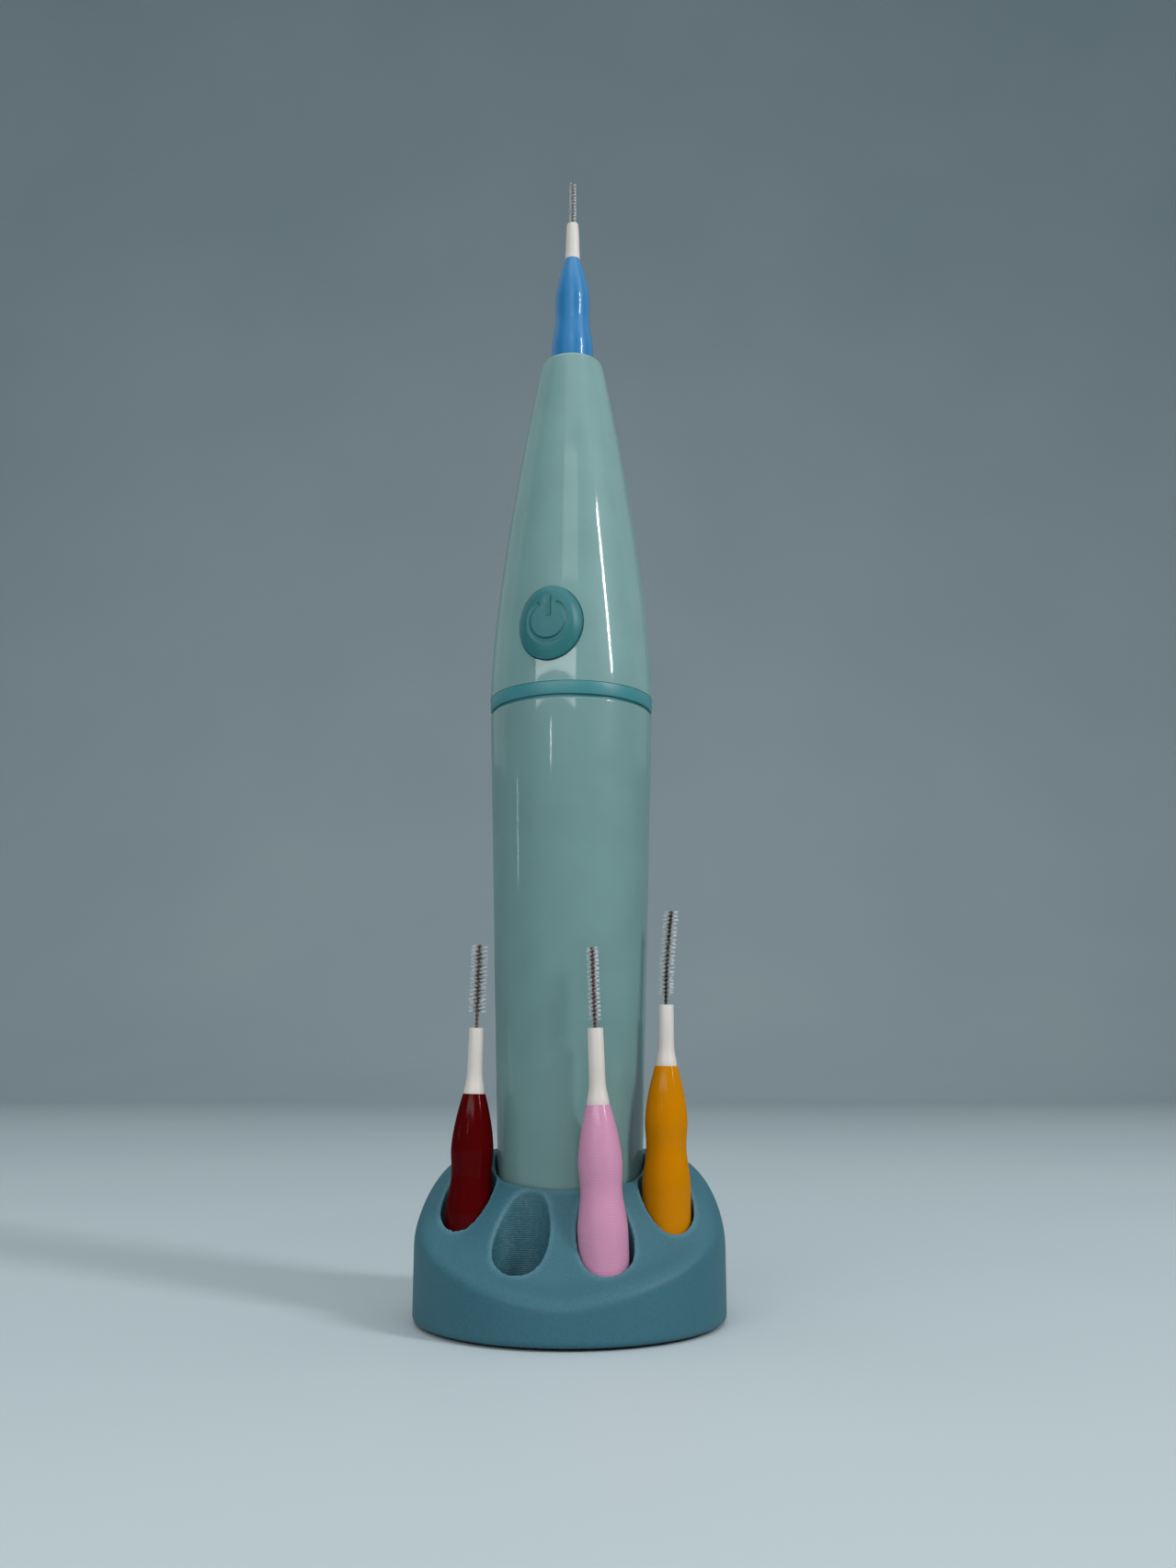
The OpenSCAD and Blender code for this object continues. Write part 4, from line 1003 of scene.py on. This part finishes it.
def wire_strand(shape, head, phase, rings=110):
    """One of the two twisted wires, as a bent cylinder added to an edited shape."""
    made = bmesh.ops.create_cone(shape, cap_ends=True, segments=8, radius1=1, radius2=1, depth=1)
    new = [e for e in shape.edges if e.verts[0] in made["verts"]]
    sides = [e for e in new if abs(e.verts[0].co.z - e.verts[1].co.z) > 0.5]
    bmesh.ops.subdivide_edges(shape, edges=sides, cuts=rings)
    for vert in [v for v in shape.verts if not v.tag]:
        share = vert.co.z + 0.5
        z = wire_root + (head["wire"] - wire_root) * share
        turn = 2 * math.pi * z / twist + phase
        middle = Vector((coil_r * math.cos(turn), coil_r * math.sin(turn), z))
        thin = min(1.0, (1 - share) * end_growth + end_thickness)
        spot = middle + Vector((vert.co.x * strand_r * thin, vert.co.y * strand_r * thin, 0))
        vert.co = bent(spot, head) * mm
        vert.tag = True


print("one full twist every", twist, "mm")

# %% [markdown]
# Each strand is a thin three-sided cone that starts inside the wire and points outwards, a little uneven in
# angle. Its outer points get the number 1 and its root the number 0, which the nylon reads as its colour.

# %% Strands
chance = random.Random(7)
root_gap, root_r, tip_r = 0.12, 0.045, 0.030
tilt_mean, tilt_spread = 4, 5


def bristle(shape, head, z, turn, reach):
    """One strand: a thin three-sided cone from the wire outwards."""
    upwards = math.radians(90 - chance.gauss(tilt_mean, tilt_spread))
    tilt = Matrix.Rotation(turn, 4, "Z") @ Matrix.Rotation(upwards, 4, "Y")
    root = bent(Vector((0, 0, z)), head) * mm
    place = Matrix.Translation(root) @ tilt @ Matrix.Translation((0, 0, (reach + root_gap) / 2 * mm))
    made = bmesh.ops.create_cone(shape, cap_ends=True, segments=3, radius1=root_r * mm, radius2=tip_r * mm,
                                 depth=(reach - root_gap) * mm, matrix=place)
    tip = shape.verts.layers.float["tip"]
    for vert in made["verts"]:
        vert[tip] = 1.0 if (vert.co - root).length > reach / 2 * mm else 0.0


print("strands are", round(2 * root_r, 2), "mm thick at the wire")

# %% [markdown]
# The strands go up the wire at an even distance, from one side to the other in turn, and their angle
# follows the twist. Small random shifts in height, angle and length keep the rows from looking drawn with a
# ruler. Near the top the strands get shorter, which rounds the brush's end.

# %% Brushes
top_gap, height_shift, turn_spread = 0.15, 0.05, 0.3
round_share, round_h, shortest, longest = 0.12, 0.8, 0.9, 1.02
for key, head in heads.items():
    core = bmesh.new()
    for phase in (0, math.pi):
        wire_strand(core, head, phase)
    hair = bmesh.new()
    hair.verts.layers.float.new("tip")
    brush_h = head["wire"] - head["bare"]
    count = int(brush_h / head["step"])
    for k in range(count):
        z = head["bare"] + (brush_h - top_gap) * k / count + chance.uniform(0, height_shift)
        turn = 2 * math.pi * z / twist + (k % 2) * math.pi + chance.gauss(0, turn_spread)
        taper = 1 - round_share * max(0, 1 - (head["wire"] - z) / round_h)
        bristle(hair, head, z, turn, head["reach"] * taper * chance.uniform(shortest, longest))
    for shape in (core, hair):
        bmesh.ops.translate(shape, verts=shape.verts, vec=(0, 0, (grip_h + head["neck"]) * mm))
        placed(shape, head)
    body = f"{key}_head"
    finish_mesh(core, f"{key}_wire", wire_finishes[key], body, [f"{key}_brush"])
    strands = finish_mesh(hair, f"{key}_bristles", bristle_nylon, body, [f"{key}_brush"])
    print(key, "strands:", count, "faces:", len(strands.data.polygons))

# %% [markdown]
# ## The inside
#
# The remaining nodes are simple solids that only show when the handle is pulled apart, so they keep the
# engineering model's meshes and just get their finishes. Every node is listed here, the replaced ones too,
# so that nothing is left grey if a piece is hidden.

# %% Finishes of the engineering nodes
finishes = {
    mint_paint: ["head_housing"],
    mint_painted_shade: ["battery_tube"],
    ring_satin: ["accent_ring"],
    teal_satin: ["power_button"],
    slate_matte: ["stand_body", "base_cover"],
    white_moulded: ["battery_guide", "motor_frame", "motor_end_cap", "ring_gear", "gear_cover",
                    "planet_gear_a", "planet_gear_b", "planet_gear_c"],
    neck_white: ["blue_neck", "red_neck", "pink_neck", "yellow_neck"],
    brushed_steel: ["weight_plate", "base_screws", "negative_spring", "motor_can", "motor_rotor",
                    "gear_screws", "drive_spindle"],
    warm_brass: ["negative_plate", "contact_strip", "positive_contact", "sun_gear", "planet_carrier",
                 "nose_bush"],
    dark_magnet: ["motor_magnets"],
    cell_sleeve: ["battery_cell"],
    soft_rubber: ["foot_ring", "seal_ring", "nose_seal"],
    green_board: ["switch_board"],
    black_moulded: ["button_switch"],
    blue_paint: ["blue_grip"],
    red_paint: ["red_grip"],
    pink_paint: ["pink_grip"],
    yellow_paint: ["yellow_grip"],
    bristle_nylon: ["blue_brush", "red_brush", "pink_brush", "yellow_brush"],
}
for material, names in finishes.items():
    for name in names:
        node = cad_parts[name]
        node.data.materials.clear()
        node.data.materials.append(material)
print("nodes with a finish:", sum(map(len, finishes.values())), "of", len(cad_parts))

# %% [markdown]
# ## The table
#
# The photograph's plain pale table fades into the background with no hard edge. One very large sheet, level
# in front and curving up behind, does the same. Its level part is satin, soft enough that no lamp is
# mirrored in it, and its upright part is dull.

# %% Backdrop's finish
def pale_sheet(name, roughness, shine):
    """Pale finish of the table or of the wall behind it, with a faint cloudiness."""
    material, tree, shader = start_finish(name, Roughness=roughness, Specular_IOR_Level=shine)
    clouds = noise(tree, 0.25, detail=2.0)
    pale, paler = linear(182, 194, 199), linear(188, 199, 203)
    colour_by(tree, shader, clouds, 0.3, 0.7, pale, paler)
    return material


table_satin = pale_sheet("pale_table", 0.5, 0.3)
wall_dull = pale_sheet("pale_wall", 0.9, 0.0)
print("table and wall ready:", table_satin.name, wall_dull.name)

# %% [markdown]
# The sheet grows from one edge: the edge is extruded backwards into the table, spun upwards into the curve
# and extruded again into the wall. It only shows the object and isn't part of the model.

# %% Backdrop
half_width, front_y, table_depth, curve_r, wall_height = 8, -8, 9, 0.6, 3.0
curve_y = front_y + table_depth


def extruded(shape, edges, shift):
    """Extrudes edges by a shift and gives back the new geometry."""
    grown = bmesh.ops.extrude_edge_only(shape, edges=edges)["geom"]
    bmesh.ops.translate(shape, verts=[v for v in grown if isinstance(v, bmesh.types.BMVert)], vec=shift)
    return grown


sheet = bmesh.new()
front = [sheet.verts.new((x, front_y, 0)) for x in (-half_width, half_width)]
table = extruded(sheet, [sheet.edges.new(front)], (0, table_depth, 0))
far = [e for e in table if isinstance(e, bmesh.types.BMEdge) and all(v.co.y > curve_y - 0.1 for v in e.verts)]
bmesh.ops.spin(sheet, geom=far + list(far[0].verts), cent=(0, curve_y, curve_r), axis=(1, 0, 0),
               angle=math.pi / 2, steps=24)
top_edge = [e for e in sheet.edges if all(v.co.z > curve_r - 0.01 for v in e.verts)]
extruded(sheet, top_edge, (0, 0, wall_height))
backdrop = as_object(sheet, "backdrop")
for material in (table_satin, wall_dull):
    backdrop.data.materials.append(material)
for face in backdrop.data.polygons:
    face.material_index = 1 if face.center.z > 1 * mm else 0
backdrop.data.shade_smooth()
bpy.context.scene.view_settings.view_transform = "Standard"
print("backdrop faces:", len(backdrop.data.polygons))
